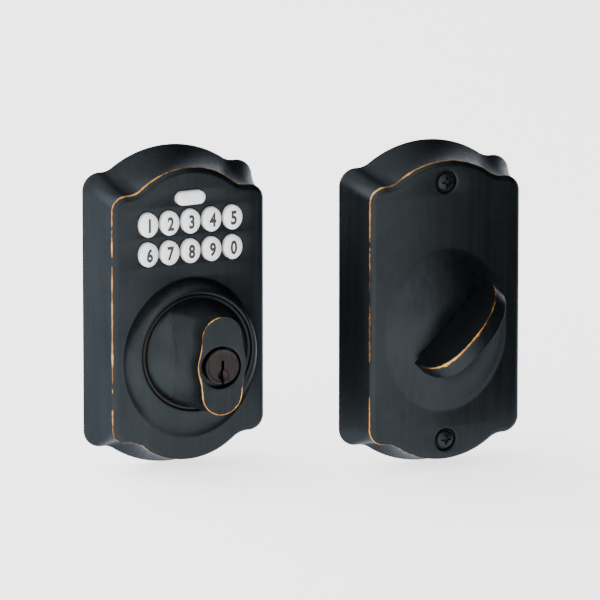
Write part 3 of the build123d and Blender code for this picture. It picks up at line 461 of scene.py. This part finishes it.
def numeral(digit, x, up, ink):
    """A digit laid on the crown of its key, a hair proud of it."""
    text = bpy.data.curves.new(f"digit_{digit}", "FONT")
    text.body, text.align_x, text.align_y = digit, "CENTER", "CENTER"
    text.size, text.offset, text.extrude, text.resolution_u = 1.0, NUMERAL_BOLD, 0.02, 6
    holder = bpy.data.objects.new(f"digit_{digit}", text)
    bpy.context.scene.collection.objects.link(holder)
    bpy.context.view_layer.update()
    mesh = bpy.data.meshes.new_from_object(holder.evaluated_get(bpy.context.evaluated_depsgraph_get()))
    bpy.data.objects.remove(holder)
    split_long_edges(mesh, 0.12)
    xs = [v.co.x for v in mesh.vertices]
    ys = [v.co.y for v in mesh.vertices]
    scale = NUMERAL_TALL / (max(ys) - min(ys))
    mid_x, mid_y = (max(xs) + min(xs)) / 2, (max(ys) + min(ys)) / 2
    for v in mesh.vertices:
        across = (v.co.x - mid_x) * scale * NUMERAL_SQUEEZE
        rise = (v.co.y - mid_y) * scale
        lift = 0.03 if v.co.z > 0 else -0.15
        crown = KEY_TOP - key_top_drop(across, rise, KEY_A, KEY_B)
        v.co = OUT.at(x + across, crown + lift, up + rise)
    piece = dress(f"numeral_{digit}", mesh, ink, f"key_{digit}", 30)


def oval_key(metal):
    shape = Shape(OUT)
    loops = []
    for share, forward in key_profile():
        trim = (1 - share) * OVAL_TALL
        loops.append(shape.loop(stadium(OVAL_WIDE - trim, OVAL_TALL - trim, forward, OVAL_Z)))
    shape.close(loops)
    piece = shape.build("oval_button_cap", metal, "oval_button", 40)
    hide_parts("oval_button")


# ================================ Outside turn ====================================================

CREASE_X = 12.0               # half distance between the creases of the two scoops
SHOULDER_SLOPE = 0.98
SHOULDER_STEPS = 16
SCOOP_STEPS = 38
SCOOP = 1.1                   # how far the scoops draw in behind the face
FACE_LOBE = 8.35              # half width of the face's lobes
FACE_BULGE = 1.85             # more half width at mid height, round the cylinder
FACE_TALL = 39.0
MOUTH_R = 8.3
MOUTH_ACROSS = -0.45          # the mouth is cast a little off the plug's axis
MOUTH_UP = -0.55
MOUTH_DEEP = 3.2
NOSE_R = 7.05


def face_point(k, count):
    """Point k of the face outline, spaced by height so that it pairs with the round base."""
    t = 2 * pi * k / count
    z = FACE_TALL / 2 * sin(t)
    reach = FACE_TALL / 2 - FACE_LOBE
    over = max(abs(z) - reach, 0.0)
    half = sqrt(max(FACE_LOBE**2 - over**2, 0.0)) + FACE_BULGE * exp(-(z / 6.0) ** 2)
    return (half if cos(t) >= 0 else -half) * (1 if abs(cos(t)) > 1e-9 else 0), z


def outside_turn(material):
    base, top = BOSS_TOP - 0.35, TURN_FACE
    shape = Shape(OUT)
    count = SPOKES
    angles = [2 * pi * k / count for k in range(count)]
    # from the flange up to the groove's lip
    loops = [shape.loop(ellipse(r, r, forward, 0, 0, count)) for r, forward in
             ((HUB_R, 0.8), (HUB_R, FLANGE_LOW), (FLANGE_R, FLANGE_LOW), (FLANGE_R, FLANGE_TOP),
              (TURN_R, FLANGE_TOP), (TURN_R, base - 0.5), (TURN_R - 0.08, base - 0.2), (TURN_R - 0.28, base))]
    height = top - base
    for step in range(1, SHOULDER_STEPS + SCOOP_STEPS + 1):
        section, wear = [], []
        for k, t in enumerate(angles):
            x0, z0 = (TURN_R - 0.28) * cos(t), (TURN_R - 0.28) * sin(t)
            x1, z1 = face_point(k, count)
            wide0, wide1 = abs(x0), abs(x1)
            crest = max(wide0 - CREASE_X, 0.0) * SHOULDER_SLOPE
            crease = min(wide0, CREASE_X)
            if step <= SHOULDER_STEPS:
                local = step / SHOULDER_STEPS
                wide = wide0 + (crease - wide0) * local
                rise = crest * (1 - (1 - local) ** 1.35)
            else:
                local = (step - SHOULDER_STEPS) / SCOOP_STEPS
                rise = crest + (height - crest) * local
                drawn = (crease - wide1) * (1 - local) ** 2.1
                drawn -= SCOOP * sin(pi * local) * ease(wide0, 6.0, 15.0)
                wide = wide1 + drawn
            z = z0 + (z1 - z0) * (rise / height) ** 1.3
            section.append((wide if x0 >= 0 else -wide, base + rise, z))
            wear.append(turn_wear(t) * exp(-((height - rise) / 0.5) ** 2))
        loops.append(shape.loop(section, wear))
    last = shape.points[-count:]
    for inset, near in ((0.12, 1.0), (0.3, 0.75), (0.55, 0.35), (0.9, 0.05)):
        ring = []
        for x, _, z in last:
            length = sqrt(x * x + z * z)
            ring.append((x * (1 - inset / length), top, z * (1 - inset / length)))
        loops.append(shape.loop(ring, [turn_wear(t) * near for t in angles]))
    shape.tube(loops)
    # mouth of the cylinder hole, with a floor that hides the cylinder's shell
    floor = top - MOUTH_DEEP
    mouth = [shape.loop(ellipse(r, r, forward, MOUTH_UP, MOUTH_ACROSS, FINE)) for r, forward in
             ((MOUTH_R + 0.4, top), (MOUTH_R + 0.15, top - 0.05), (MOUTH_R, top - 0.3), (MOUTH_R, floor))]
    mouth += [shape.loop(ellipse(NOSE_R + 0.15, NOSE_R + 0.15, forward, 0, 0, FINE))
              for forward in (floor, floor - 0.4)]
    shape.tube(mouth)
    shape.fill(loops[-1], mouth[0])
    shape.fill(mouth[-1])
    shape.fill(loops[0])
    piece = shape.build("outside_turn_body", material, "outside_turn", 38)
    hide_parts("outside_turn")


def turn_wear(t):
    """Wear round the turn's face: most at the lower left, least at the upper right."""
    return 0.62 + 0.34 * cos(t - 1.22 * pi)


def turn_seal(material):
    shape = Shape(OUT)
    middle_r, half, low = (GROOVE_R + TURN_R) / 2, 0.75, POCKET_TOP + 0.3
    top = BOSS_TOP - 0.55
    profile = [(middle_r - half, low), (middle_r - half, top - 0.4)]
    profile += [(middle_r - half * cos(t), top - 0.4 + 0.4 * sin(t))
                for t in (0.4, 0.8, 1.2, pi / 2, 1.95, 2.35, 2.75)]
    profile += [(middle_r + half, top - 0.4), (middle_r + half, low)]
    loops = [shape.loop(ellipse(r, r, forward, 0, 0, SPOKES)) for r, forward in profile]
    shape.tube(loops + [loops[0]])
    piece = shape.build("turn_groove_seal", material, "frame")
    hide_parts("turn_seal")


# ================================ Key plug ========================================================

NOSE_PROUD = 0.6
KEYWAY_TOP = 2.3
KEYWAY_WIDE = 1.25
SCOOP_R = 2.35
SCOOP_UP = -3.4


def cutter(name, points, faces):
    """Closed mesh with outward normals, used only to cut another."""
    mesh = bpy.data.meshes.new(name)
    mesh.from_pydata(points, [], faces)
    work = bmesh.new()
    work.from_mesh(mesh)
    bmesh.ops.recalc_face_normals(work, faces=work.faces)
    work.to_mesh(mesh)
    work.free()
    tool = bpy.data.objects.new(name, mesh)
    bpy.context.scene.collection.objects.link(tool)
    return tool


def block(half, across, forward, up):
    """Box-shaped cutter. Each argument is a (low, high) pair."""
    corners = [half.at(x, f, z) for x in across for f in forward for z in up]
    return cutter("block_cutter", corners,
                  [(0, 1, 3, 2), (4, 6, 7, 5), (0, 4, 5, 1), (2, 3, 7, 6), (0, 2, 6, 4), (1, 5, 7, 3)])


def ball_cutter(half, across, forward, up, radius, deep):
    """Flattened ball-shaped cutter."""
    shape = Shape(half)
    loops = [shape.loop(ellipse(radius * sin(t), radius * sin(t), forward + deep * cos(t), up, across, 40))
             for t in [pi * k / 16 for k in range(1, 16)]]
    shape.close(loops)
    return cutter("ball_cutter", [half.at(*point) for point in shape.points], shape.faces)


def key_plug(material):
    face = TURN_FACE + NOSE_PROUD
    shape = Shape(OUT)
    low = TURN_FACE - 3.5
    profile = [(6.35, 25.0), (6.35, low), (NOSE_R - 0.1, low), (NOSE_R, low + 0.1), (NOSE_R, face - 0.45),
               (NOSE_R - 0.08, face - 0.18), (NOSE_R - 0.28, face - 0.03), (NOSE_R - 0.55, face),
               (NOSE_R - 0.75, face - 0.02), (NOSE_R - 0.95, face - 0.1)]
    profile += [(NOSE_R * share, face - 0.1) for share in (0.75, 0.5, 0.25)]
    loops = [shape.loop(ellipse(r, r, forward, 0, 0, FINE)) for r, forward in profile]
    shape.close(loops)
    piece = shape.build("key_plug_face", material, "key_plug", 30)
    slot = block(OUT, (-KEYWAY_WIDE / 2, KEYWAY_WIDE / 2), (26.0, face + 1), (-NOSE_R - 0.6, KEYWAY_TOP))
    carve(piece, ball_cutter(OUT, 0.25, face + 0.15, SCOOP_UP, SCOOP_R, 1.5), slot)
    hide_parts("key_plug")


# ================================ Thumbturn =======================================================

THUMB_LONG = 43.2
THUMB_THICK = 6.6
THUMB_ROUND = 0.55
THUMB_LEAN = 3.0
THUMB_POWER = 2.4
STEM_BACK = 15.4


def thumb_profile(inset):
    """Half-moon (along, rise) from one foot over the crest to the other, drawn in by the inset."""
    tall = THUMB_TIP - DOME_TOP - 0.3
    points = []
    for k in range(FINE + 1):
        t = pi * k / FINE
        along = (THUMB_LONG / 2 - inset) * (abs(cos(t)) ** (2 / THUMB_POWER)) * (1 if cos(t) >= 0 else -1)
        rise = (tall - inset) * abs(sin(t)) ** (2 / THUMB_POWER)
        points.append((along - THUMB_LEAN * (rise / tall) ** 2, rise))
    return points


def thumbturn(material):
    """Half-moon plate at 45 degrees, with rounded edges and a flat foot just above the dome."""
    shape = Shape(IN)
    foot = DOME_TOP + 0.3
    turn = radians(45)
    half = THUMB_THICK / 2
    steps = [(-half, THUMB_ROUND)]
    steps += [(-half + THUMB_ROUND * (1 - cos(t)), THUMB_ROUND * (1 - sin(t)))
              for t in (0.35, 0.7, 1.05, 1.3)]
    steps += [(offset, 0.0) for offset in (-half + THUMB_ROUND, -1.2, 0.0, 1.2, half - THUMB_ROUND)]
    steps += [(-offset, inset) for offset, inset in steps[4::-1]]
    loops = []
    for offset, inset in steps:
        points = []
        for along, rise in thumb_profile(inset):
            x = along * cos(turn) + offset * sin(turn)
            z = along * sin(turn) - offset * cos(turn)
            points.append((x, foot + rise, z))
        near = exp(-((abs(offset) - half + 0.3) / 0.26) ** 2) if offset < 0 else 0.0
        strength = [near * (0.86 - 0.10 * sin(7 * k / FINE)) * ease(rise, 1.5, 6.0)
                    for k, (_, rise) in enumerate(thumb_profile(inset))]
        loops.append(shape.loop(points, strength))
    shape.tube(loops)
    for end in (loops[0], loops[-1]):
        count = len(end)
        middle_point = [sum(shape.points[i][axis] for i in end) / count for axis in range(3)]
        inner = end
        for share in (0.85, 0.5):
            ring = shape.loop([tuple(m + (shape.points[i][axis] - m) * share
                                     for axis, m in enumerate(middle_point)) for i in end])
            shape.bridge(inner, ring)
            inner = ring
        shape.cap(inner)
    piece = shape.build("thumbturn_grip", material, "thumbturn", 38)
    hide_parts("thumbturn")
    stem = Shape(IN)
    step = IN_FRONT - WALL - 0.1
    profile = ((STEM_R - 0.3, STEM_BACK), (STEM_R, STEM_BACK + 0.3), (STEM_R, step - 0.1),
               (STEM_R - 0.1, step), (NECK_R, step), (NECK_R, foot + 0.2), (NECK_R - 0.3, foot + 0.4))
    rings = [stem.loop(ellipse(r, r, forward, 0, 0, 64)) for r, forward in profile]
    stem.close(rings)
    stem.build("thumbturn_stem", material, "thumbturn")


# ================================ Cover screws ====================================================

SCREW_R = 1.55
SCREW_HEAD_R = 3.5
CROSS_LONG = 2.1              # half length and half width of the arms of a screw's cross
CROSS_WIDE = 0.42


def cover_screws(material):
    head_low = IN_FRONT - 1.2
    for name, up in (("upper", COVER_SCREW_UP - DOME_UP), ("lower", -COVER_SCREW_UP - DOME_UP)):
        shape = Shape(IN)
        profile = [(SCREW_R, 9.0), (SCREW_R, head_low), (3.3, head_low), (SCREW_HEAD_R, head_low + 0.2),
                   (SCREW_HEAD_R, head_low + 0.75)]
        profile += [(SCREW_HEAD_R * cos(t), head_low + 0.75 + 0.95 * sin(t))
                    for t in (0.25, 0.5, 0.75, 1.0, 1.25, 1.42)]
        loops = [shape.loop(ellipse(r, r, forward, up)) for r, forward in profile]
        shape.close(loops)
        piece = shape.build(f"cover_screw_{name}", material, "frame", 40)
        deep = (head_low + 0.5, head_low + 3)
        carve(piece, block(IN, (-CROSS_LONG, CROSS_LONG), deep, (up - CROSS_WIDE, up + CROSS_WIDE)),
              block(IN, (-CROSS_WIDE, CROSS_WIDE), deep, (up - CROSS_LONG, up + CROSS_LONG)),
              ball_cutter(IN, 0, head_low + 1.9, up, 1.25, 1.5))
        if name == "upper":
            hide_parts("cover_screws")


# ================================ Materials =======================================================

class Nodes:
    """Small helper that adds shader nodes and joins them."""

    def __init__(self, name):
        self.material = bpy.data.materials.new(name)
        self.material.use_nodes = True
        self.tree = self.material.node_tree
        self.shader = self.tree.nodes["Principled BSDF"]
        self.place = self.add("ShaderNodeTexCoord").outputs["Object"]

    def add(self, kind, **settings):
        node = self.tree.nodes.new(kind)
        for key, value in settings.items():
            setattr(node, key, value)
        return node

    def join(self, output, socket):
        self.tree.links.new(output, socket)

    def stretched(self, scale):
        """Object coordinates scaled by a triple, for grain that runs one way."""
        mapping = self.add("ShaderNodeMapping")
        mapping.inputs["Scale"].default_value = scale
        self.join(self.place, mapping.inputs["Vector"])
        return mapping.outputs["Vector"]

    def noise(self, scale, detail=4.0, roughness=0.55, grain=(1, 1, 1)):
        node = self.add("ShaderNodeTexNoise")
        node.inputs["Scale"].default_value = scale
        node.inputs["Detail"].default_value = detail
        node.inputs["Roughness"].default_value = roughness
        self.join(self.place if grain == (1, 1, 1) else self.stretched(grain), node.inputs["Vector"])
        return node.outputs["Fac"]

    def ramp(self, value, *stops):
        node = self.add("ShaderNodeValToRGB")
        band = node.color_ramp
        while len(band.elements) < len(stops):
            band.elements.new(0.5)
        for element, (position, colour) in zip(band.elements, stops):
            element.position = position
            element.color = (*colour, 1)
        self.join(value, node.inputs["Fac"])
        return node.outputs["Color"]

    def span(self, value, low, high, to_low=0.0, to_high=1.0, smooth=False):
        node = self.add("ShaderNodeMapRange", clamp=True)
        node.interpolation_type = "SMOOTHSTEP" if smooth else "LINEAR"
        for socket, amount in zip(node.inputs[1:5], (low, high, to_low, to_high)):
            socket.default_value = amount
        self.join(value, node.inputs["Value"])
        return node.outputs["Result"]

    def sum(self, one, two, operation="ADD"):
        node = self.add("ShaderNodeMath", operation=operation)
        for socket, value in zip(node.inputs, (one, two)):
            if isinstance(value, (int, float)):
                socket.default_value = value
            else:
                self.join(value, socket)
        return node.outputs["Value"]

    def mix(self, share, one, two):
        node = self.add("ShaderNodeMix", data_type="RGBA")
        self.join(share, node.inputs["Factor"])
        for name, value in (("A", one), ("B", two)):
            socket = [s for s in node.inputs if s.name == name and s.type == "RGBA"][0]
            if isinstance(value, tuple):
                socket.default_value = (*value, 1)
            else:
                self.join(value, socket)
        return [s for s in node.outputs if s.type == "RGBA"][0]

    def bump(self, height, strength, distance):
        node = self.add("ShaderNodeBump")
        node.inputs["Strength"].default_value = strength
        node.inputs["Distance"].default_value = distance
        self.join(height, node.inputs["Height"])
        self.join(node.outputs["Normal"], self.shader.inputs["Normal"])

    def set(self, **values):
        for name, value in values.items():
            self.shader.inputs[name.replace("_", " ")].default_value = value


CROWN = 0.0000019             # metres of crown per square millimetre from the middle of a face


def aged_bronze():
    """Near-black plated bronze with a cool sheen, and bare copper where hands wear its edges."""
    n = Nodes("aged_bronze")
    cloud = n.noise(38.0, 5.0, 0.6)
    streak = n.noise(60.0, 3.0, 0.5, (9.0, 9.0, 0.35))
    base = n.ramp(cloud, (0.30, (0.0120, 0.0146, 0.0165)), (0.70, (0.0185, 0.0218, 0.0243)))
    base = n.mix(n.span(streak, 0.35, 0.75, 0.0, 0.45), base, (0.023, 0.027, 0.030))
    worn = n.add("ShaderNodeAttribute", attribute_name="wear").outputs["Fac"]
    scuff = n.noise(420.0, 6.0, 0.72)
    patch = n.noise(120.0, 3.0, 0.5)
    ragged = n.sum(n.span(scuff, 0.3, 0.7, -0.30, 0.30), n.span(patch, 0.35, 0.65, -0.22, 0.22))
    ragged = n.sum(ragged, n.span(worn, 0.03, 0.30), "MULTIPLY")
    bare = n.span(n.sum(worn, ragged), 0.47, 0.60, smooth=True)
    halo = n.span(n.sum(worn, ragged), 0.18, 0.62, 0.0, 0.55)
    copper = n.ramp(patch, (0.35, (0.20, 0.075, 0.022)), (0.52, (0.36, 0.17, 0.045)),
                    (0.68, (0.52, 0.28, 0.080)))
    brown = n.mix(halo, base, (0.060, 0.030, 0.014))
    n.join(n.mix(bare, brown, copper), n.shader.inputs["Base Color"])
    rough = n.sum(n.span(n.noise(900.0, 3.0), 0.3, 0.7, 0.33, 0.42), n.span(streak, 0.3, 0.7, -0.04, 0.04))
    n.join(n.sum(rough, n.span(bare, 0, 1, 0.0, -0.12)), n.shader.inputs["Roughness"])
    n.set(Metallic=0.9, Specular_Tint=(0.42, 0.43, 0.45, 1))
    across = n.add("ShaderNodeAttribute", attribute_name="across").outputs["Fac"]
    crown = n.sum(n.sum(across, across, "MULTIPLY"), -CROWN, "MULTIPLY")
    grain = n.sum(n.noise(1500.0, 4.0, 0.6), n.sum(n.noise(170.0, 3.0), n.sum(streak, 0.6, "MULTIPLY")))
    n.bump(n.sum(crown, n.sum(grain, 0.22 * 0.00006, "MULTIPLY")), 1.0, 1.0)
    return n.material


def metal(name, dark, light, rough, scale=60.0, metallic=1.0, strength=0.2):
    """Plated or machined metal with cloudy tone, fine grain and small scratches."""
    n = Nodes(name)
    tone = n.noise(scale, 5.0, 0.6)
    scratch = n.noise(700.0, 3.0, 0.6, (1.0, 1.0, 14.0))
    colour = n.ramp(tone, (0.32, dark), (0.68, light))
    n.join(n.mix(n.span(scratch, 0.62, 0.8, 0.0, 0.35), colour, tuple(c * 0.6 for c in dark)),
           n.shader.inputs["Base Color"])
    n.join(n.sum(n.span(tone, 0.3, 0.7, rough - 0.06, rough + 0.06), n.span(scratch, 0.4, 0.7, 0.0, 0.08)),
           n.shader.inputs["Roughness"])
    n.set(Metallic=metallic)
    n.bump(n.sum(n.noise(1200.0, 4.0, 0.6), scratch), strength, 0.00004)
    return n.material


def plug_bronze():
    """Dark brownish bronze with a fine brushed grain that runs one way."""
    n = Nodes("plug_bronze")
    brush = n.noise(260.0, 3.0, 0.6, (6.0, 1.0, 1.0))
    tone = n.noise(90.0, 4.0)
    colour = n.ramp(tone, (0.3, (0.012, 0.0098, 0.0095)), (0.7, (0.020, 0.017, 0.0165)))
    colour = n.mix(n.span(brush, 0.35, 0.7, 0.0, 0.6), colour, (0.034, 0.030, 0.0295))
    n.join(colour, n.shader.inputs["Base Color"])
    n.join(n.span(brush, 0.3, 0.7, 0.30, 0.46), n.shader.inputs["Roughness"])
    n.set(Metallic=0.95)
    n.bump(brush, 0.3, 0.00006)
    return n.material


def key_silver():
    """Satin silver, a little cloudy and finely grained."""
    n = Nodes("key_silver")
    tone = n.noise(160.0, 4.0, 0.55)
    grain = n.noise(1800.0, 3.0, 0.6)
    n.join(n.ramp(tone, (0.3, (0.80, 0.803, 0.81)), (0.7, (0.90, 0.903, 0.91))),
           n.shader.inputs["Base Color"])
    n.join(n.sum(n.span(grain, 0.3, 0.7, 0.34, 0.44), n.span(tone, 0.3, 0.7, -0.04, 0.04)),
           n.shader.inputs["Roughness"])
    n.set(Metallic=0.2)
    n.bump(n.sum(grain, tone), 0.18, 0.00004)
    return n.material


def plastic(name, dark, light, rough, speckle=500.0, specular=0.5, bump=0.25):
    """Moulded or printed plastic and rubber with a fine texture."""
    n = Nodes(name)
    tone = n.noise(90.0, 4.0)
    grain = n.noise(speckle, 4.0, 0.65)
    n.join(n.ramp(n.sum(tone, n.sum(grain, 0.3, "MULTIPLY")), (0.45, dark), (0.85, light)),
           n.shader.inputs["Base Color"])
    n.join(n.span(grain, 0.3, 0.7, rough - 0.07, rough + 0.07), n.shader.inputs["Roughness"])
    n.shader.inputs["Specular IOR Level"].default_value = specular
    n.bump(grain, bump, 0.00008)
    return n.material


def circuit_board():
    """Green solder mask in two tones, with a lighter grid of tracks."""
    n = Nodes("circuit_board")
    tracks = n.add("ShaderNodeTexBrick", offset=0.37, squash=1.0)
    tracks.inputs["Scale"].default_value = 420.0
    tracks.inputs["Mortar Size"].default_value = 0.06
    tracks.inputs["Color1"].default_value = (0.008, 0.10, 0.035, 1)
    tracks.inputs["Color2"].default_value = (0.010, 0.13, 0.045, 1)
    tracks.inputs["Mortar"].default_value = (0.05, 0.22, 0.07, 1)
    turned = n.add("ShaderNodeMapping")
    turned.inputs["Rotation"].default_value = (pi / 2, 0, 0)
    n.join(n.place, turned.inputs["Vector"])
    n.join(turned.outputs["Vector"], tracks.inputs["Vector"])
    n.join(n.mix(n.span(n.noise(300.0), 0.3, 0.7, 0.0, 0.3), tracks.outputs["Color"], (0.01, 0.07, 0.03)),
           n.shader.inputs["Base Color"])
    n.join(n.span(n.noise(500.0), 0.3, 0.7, 0.25, 0.4), n.shader.inputs["Roughness"])
    n.bump(tracks.outputs["Fac"], 0.3, 0.00004)
    return n.material


# ================================ Pieces ==========================================================

bronze = aged_bronze()
silver = key_silver()
outside_shell(bronze)
inside_shell(bronze)
keys(silver, plastic("numeral_ink", (0.006, 0.006, 0.007), (0.014, 0.014, 0.016), 0.45))
oval_key(silver)
outside_turn(bronze)
turn_seal(plastic("black_rubber", (0.002, 0.002, 0.002), (0.005, 0.005, 0.006), 0.55, 700.0, 0.25, 0.12))
key_plug(plug_bronze())
thumbturn(bronze)
cover_screws(bronze)

FINISHES = {
    "brass": metal("brass", (0.62, 0.44, 0.18), (0.78, 0.59, 0.28), 0.28),
    "spring_steel": metal("spring_steel", (0.42, 0.42, 0.43), (0.60, 0.60, 0.61), 0.25),
    "zinc_steel": metal("zinc_steel", (0.48, 0.49, 0.50), (0.66, 0.66, 0.64), 0.36, 45.0),
    "cast_zinc": metal("cast_zinc", (0.36, 0.36, 0.37), (0.50, 0.50, 0.51), 0.5, 110.0, strength=0.45),
    "silicone": plastic("silicone", (0.12, 0.12, 0.125), (0.20, 0.20, 0.205), 0.6),
    "foam": plastic("foam", (0.012, 0.012, 0.013), (0.035, 0.035, 0.036), 0.9, 1400.0, 0.2, 0.9),
    "circuit_board": circuit_board(),
    "black_plastic": plastic("black_plastic", (0.010, 0.010, 0.011), (0.028, 0.028, 0.030), 0.42),
    "battery_skin": metal("battery_skin", (0.05, 0.055, 0.06), (0.10, 0.105, 0.11), 0.35, metallic=0.7),
    "nickel": metal("nickel", (0.58, 0.56, 0.50), (0.72, 0.70, 0.64), 0.22),
}
FINISHES["aged_bronze"] = bronze
FINISHES["key_metal"] = silver
FINISHES["plug_face"] = FINISHES["brass"]
for part in frame["record"]["subparts"]:
    node = frame["nodes"][part["node"]]
    node.data.materials.clear()
    node.data.materials.append(FINISHES[part["material_slot"]])

# ================================ Floor, light and camera =========================================

FLOOR_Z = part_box("keypad_housing")[0].z
FLOOR_GLOW = 2.0              # the sweep gives its own light, so that it stays pale
FLOOR_WIDE = 6.0              # metres each side, then towards the user, away, up, and round the bend
FLOOR_NEAR = -6.0
FLOOR_FAR = 5.0
FLOOR_TALL = 3.0
FLOOR_BEND = 1.5
CARD_EDGE = 0.100             # where the card's left edge starts, in metres
CARD_SLANT = 0.36             # how far that edge moves right for each metre towards the user
CARD_LIFT = 0.004
CARD_BACK = -0.10             # the card's far, near and right edges
CARD_NEAR = -3.0
CARD_RIGHT = 3.0


def studio_floor():
    """Pale glowing floor that sweeps up into a backdrop behind the object."""
    n = Nodes("pale_floor")
    n.join(n.ramp(n.noise(3.0, 3.0), (0.3, (0.93, 0.93, 0.93)), (0.7, (0.96, 0.96, 0.96))),
           n.shader.inputs["Base Color"])
    n.set(Roughness=0.9, Emission_Color=(1, 1, 1, 1), Emission_Strength=FLOOR_GLOW)
    flat_end = FLOOR_FAR - FLOOR_BEND
    turns = [pi / 2 * k / 16 for k in range(1, 17)]
    profile = [(FLOOR_NEAR, 0.0), (flat_end, 0.0)]
    profile += [(flat_end + FLOOR_BEND * sin(t), FLOOR_BEND - FLOOR_BEND * cos(t)) for t in turns]
    profile += [(FLOOR_FAR, FLOOR_TALL)]
    points = [(x, y, FLOOR_Z + z) for y, z in profile for x in (-FLOOR_WIDE, FLOOR_WIDE)]
    mesh = bpy.data.meshes.new("studio_floor")
    mesh.from_pydata(points, [], [(2 * k, 2 * k + 1, 2 * k + 3, 2 * k + 2) for k in range(len(profile) - 1)])
    for polygon in mesh.polygons:
        polygon.use_smooth = True
    mesh.materials.append(n.material)
    floor = bpy.data.objects.new("studio_floor", mesh)
    bpy.context.scene.collection.objects.link(floor)


def dark_card():
    """Dark card low at the front right. Only reflections see it, so the faces shade off to the right."""
    n = Nodes("dark_card")
    n.join(n.ramp(n.noise(40.0), (0.3, (0.004, 0.004, 0.004)), (0.7, (0.008, 0.008, 0.008))),
           n.shader.inputs["Base Color"])
    n.set(Roughness=1.0)
    z = FLOOR_Z + CARD_LIFT
    near_edge = CARD_EDGE + CARD_SLANT * (CARD_BACK - CARD_NEAR)
    mesh = bpy.data.meshes.new("dark_card")
    mesh.from_pydata([(CARD_EDGE, CARD_BACK, z), (CARD_RIGHT, CARD_BACK, z), (CARD_RIGHT, CARD_NEAR, z),
                      (near_edge, CARD_NEAR, z)], [], [(0, 1, 2, 3)])
    mesh.materials.append(n.material)
    card = bpy.data.objects.new("dark_card", mesh)
    card.visible_camera = False
    card.visible_shadow = False
    card.visible_diffuse = False
    bpy.context.scene.collection.objects.link(card)


def softbox(name, place, aim, wide, tall, watts):
    light = bpy.data.lights.new(name, "AREA")
    light.shape, light.size, light.size_y, light.energy = "RECTANGLE", wide, tall, watts
    lamp = bpy.data.objects.new(name, light)
    lamp.location = place
    lamp.rotation_euler = (Vector(aim) - Vector(place)).to_track_quat("-Z", "Y").to_euler()
    lamp.visible_camera = False
    bpy.context.scene.collection.objects.link(lamp)


SKY_BRIGHT = 2.0
SKY_DARK = 0.04
SKY_BRIGHT_X = -0.30            # the soft surround fades between these sideways directions
SKY_DARK_X = 0.55


def studio_lights():
    """Soft surround, bright on the left and dark on the right, with small softboxes for highlights."""
    softbox("key_left", (-0.95, -0.40, 0.62), (0.03, 0, 0.02), 0.9, 1.0, 6.0)
    softbox("top_fill", (-0.1, -0.15, 1.1), (0.04, 0, 0.0), 0.9, 0.5, 1.0)
    softbox("back_left", (-0.55, 0.75, 0.45), (0.03, 0, 0.02), 0.9, 0.6, 7.0)
    world = bpy.data.worlds.new("studio")
    bpy.context.scene.world = world
    world.use_nodes = True
    tree = world.node_tree
    split = tree.nodes.new("ShaderNodeSeparateXYZ")
    fade = tree.nodes.new("ShaderNodeMapRange")
    fade.interpolation_type = "SMOOTHSTEP"
    for socket, amount in zip(fade.inputs[1:5], (SKY_BRIGHT_X, SKY_DARK_X, SKY_BRIGHT, SKY_DARK)):
        socket.default_value = amount
    tree.links.new(tree.nodes.new("ShaderNodeTexCoord").outputs["Generated"], split.inputs["Vector"])
    tree.links.new(split.outputs["X"], fade.inputs["Value"])
    tree.links.new(fade.outputs["Result"], tree.nodes["Background"].inputs["Strength"])
    tree.nodes["Background"].inputs["Color"].default_value = (1.0, 1.0, 1.0, 1)


CAMERA_TURN = radians(23.95)
CAMERA_TILT = radians(13.36)
CAMERA_AWAY = 3.518            # metres, as are the next two
CAMERA_RIGHT = 0.0520
CAMERA_UP = 0.00097
CAMERA_LENS = 540.0            # millimetres, as is the sensor
CAMERA_SENSOR = 36.0


def studio_camera():
    """Camera a little to the left of the object and above it, looking right and down."""
    a, e = CAMERA_TURN, CAMERA_TILT
    ahead = Vector((sin(a) * cos(e), cos(a) * cos(e), -sin(e)))
    right = Vector((cos(a), -sin(a), 0))
    up = right.cross(ahead)
    target = Vector((OUT_PLATE.x, OUT_PLATE.door, OUT_PLATE.z))
    place = target + right * CAMERA_RIGHT + up * CAMERA_UP - ahead * CAMERA_AWAY
    data = bpy.data.cameras.new("camera")
    data.lens, data.sensor_width = CAMERA_LENS, CAMERA_SENSOR
    camera = bpy.data.objects.new("camera", data)
    camera.matrix_world = Matrix((right, up, -ahead)).transposed().to_4x4()
    camera.location = place
    bpy.context.scene.collection.objects.link(camera)
    bpy.context.scene.camera = camera


studio_floor()
dark_card()
studio_lights()
studio_camera()
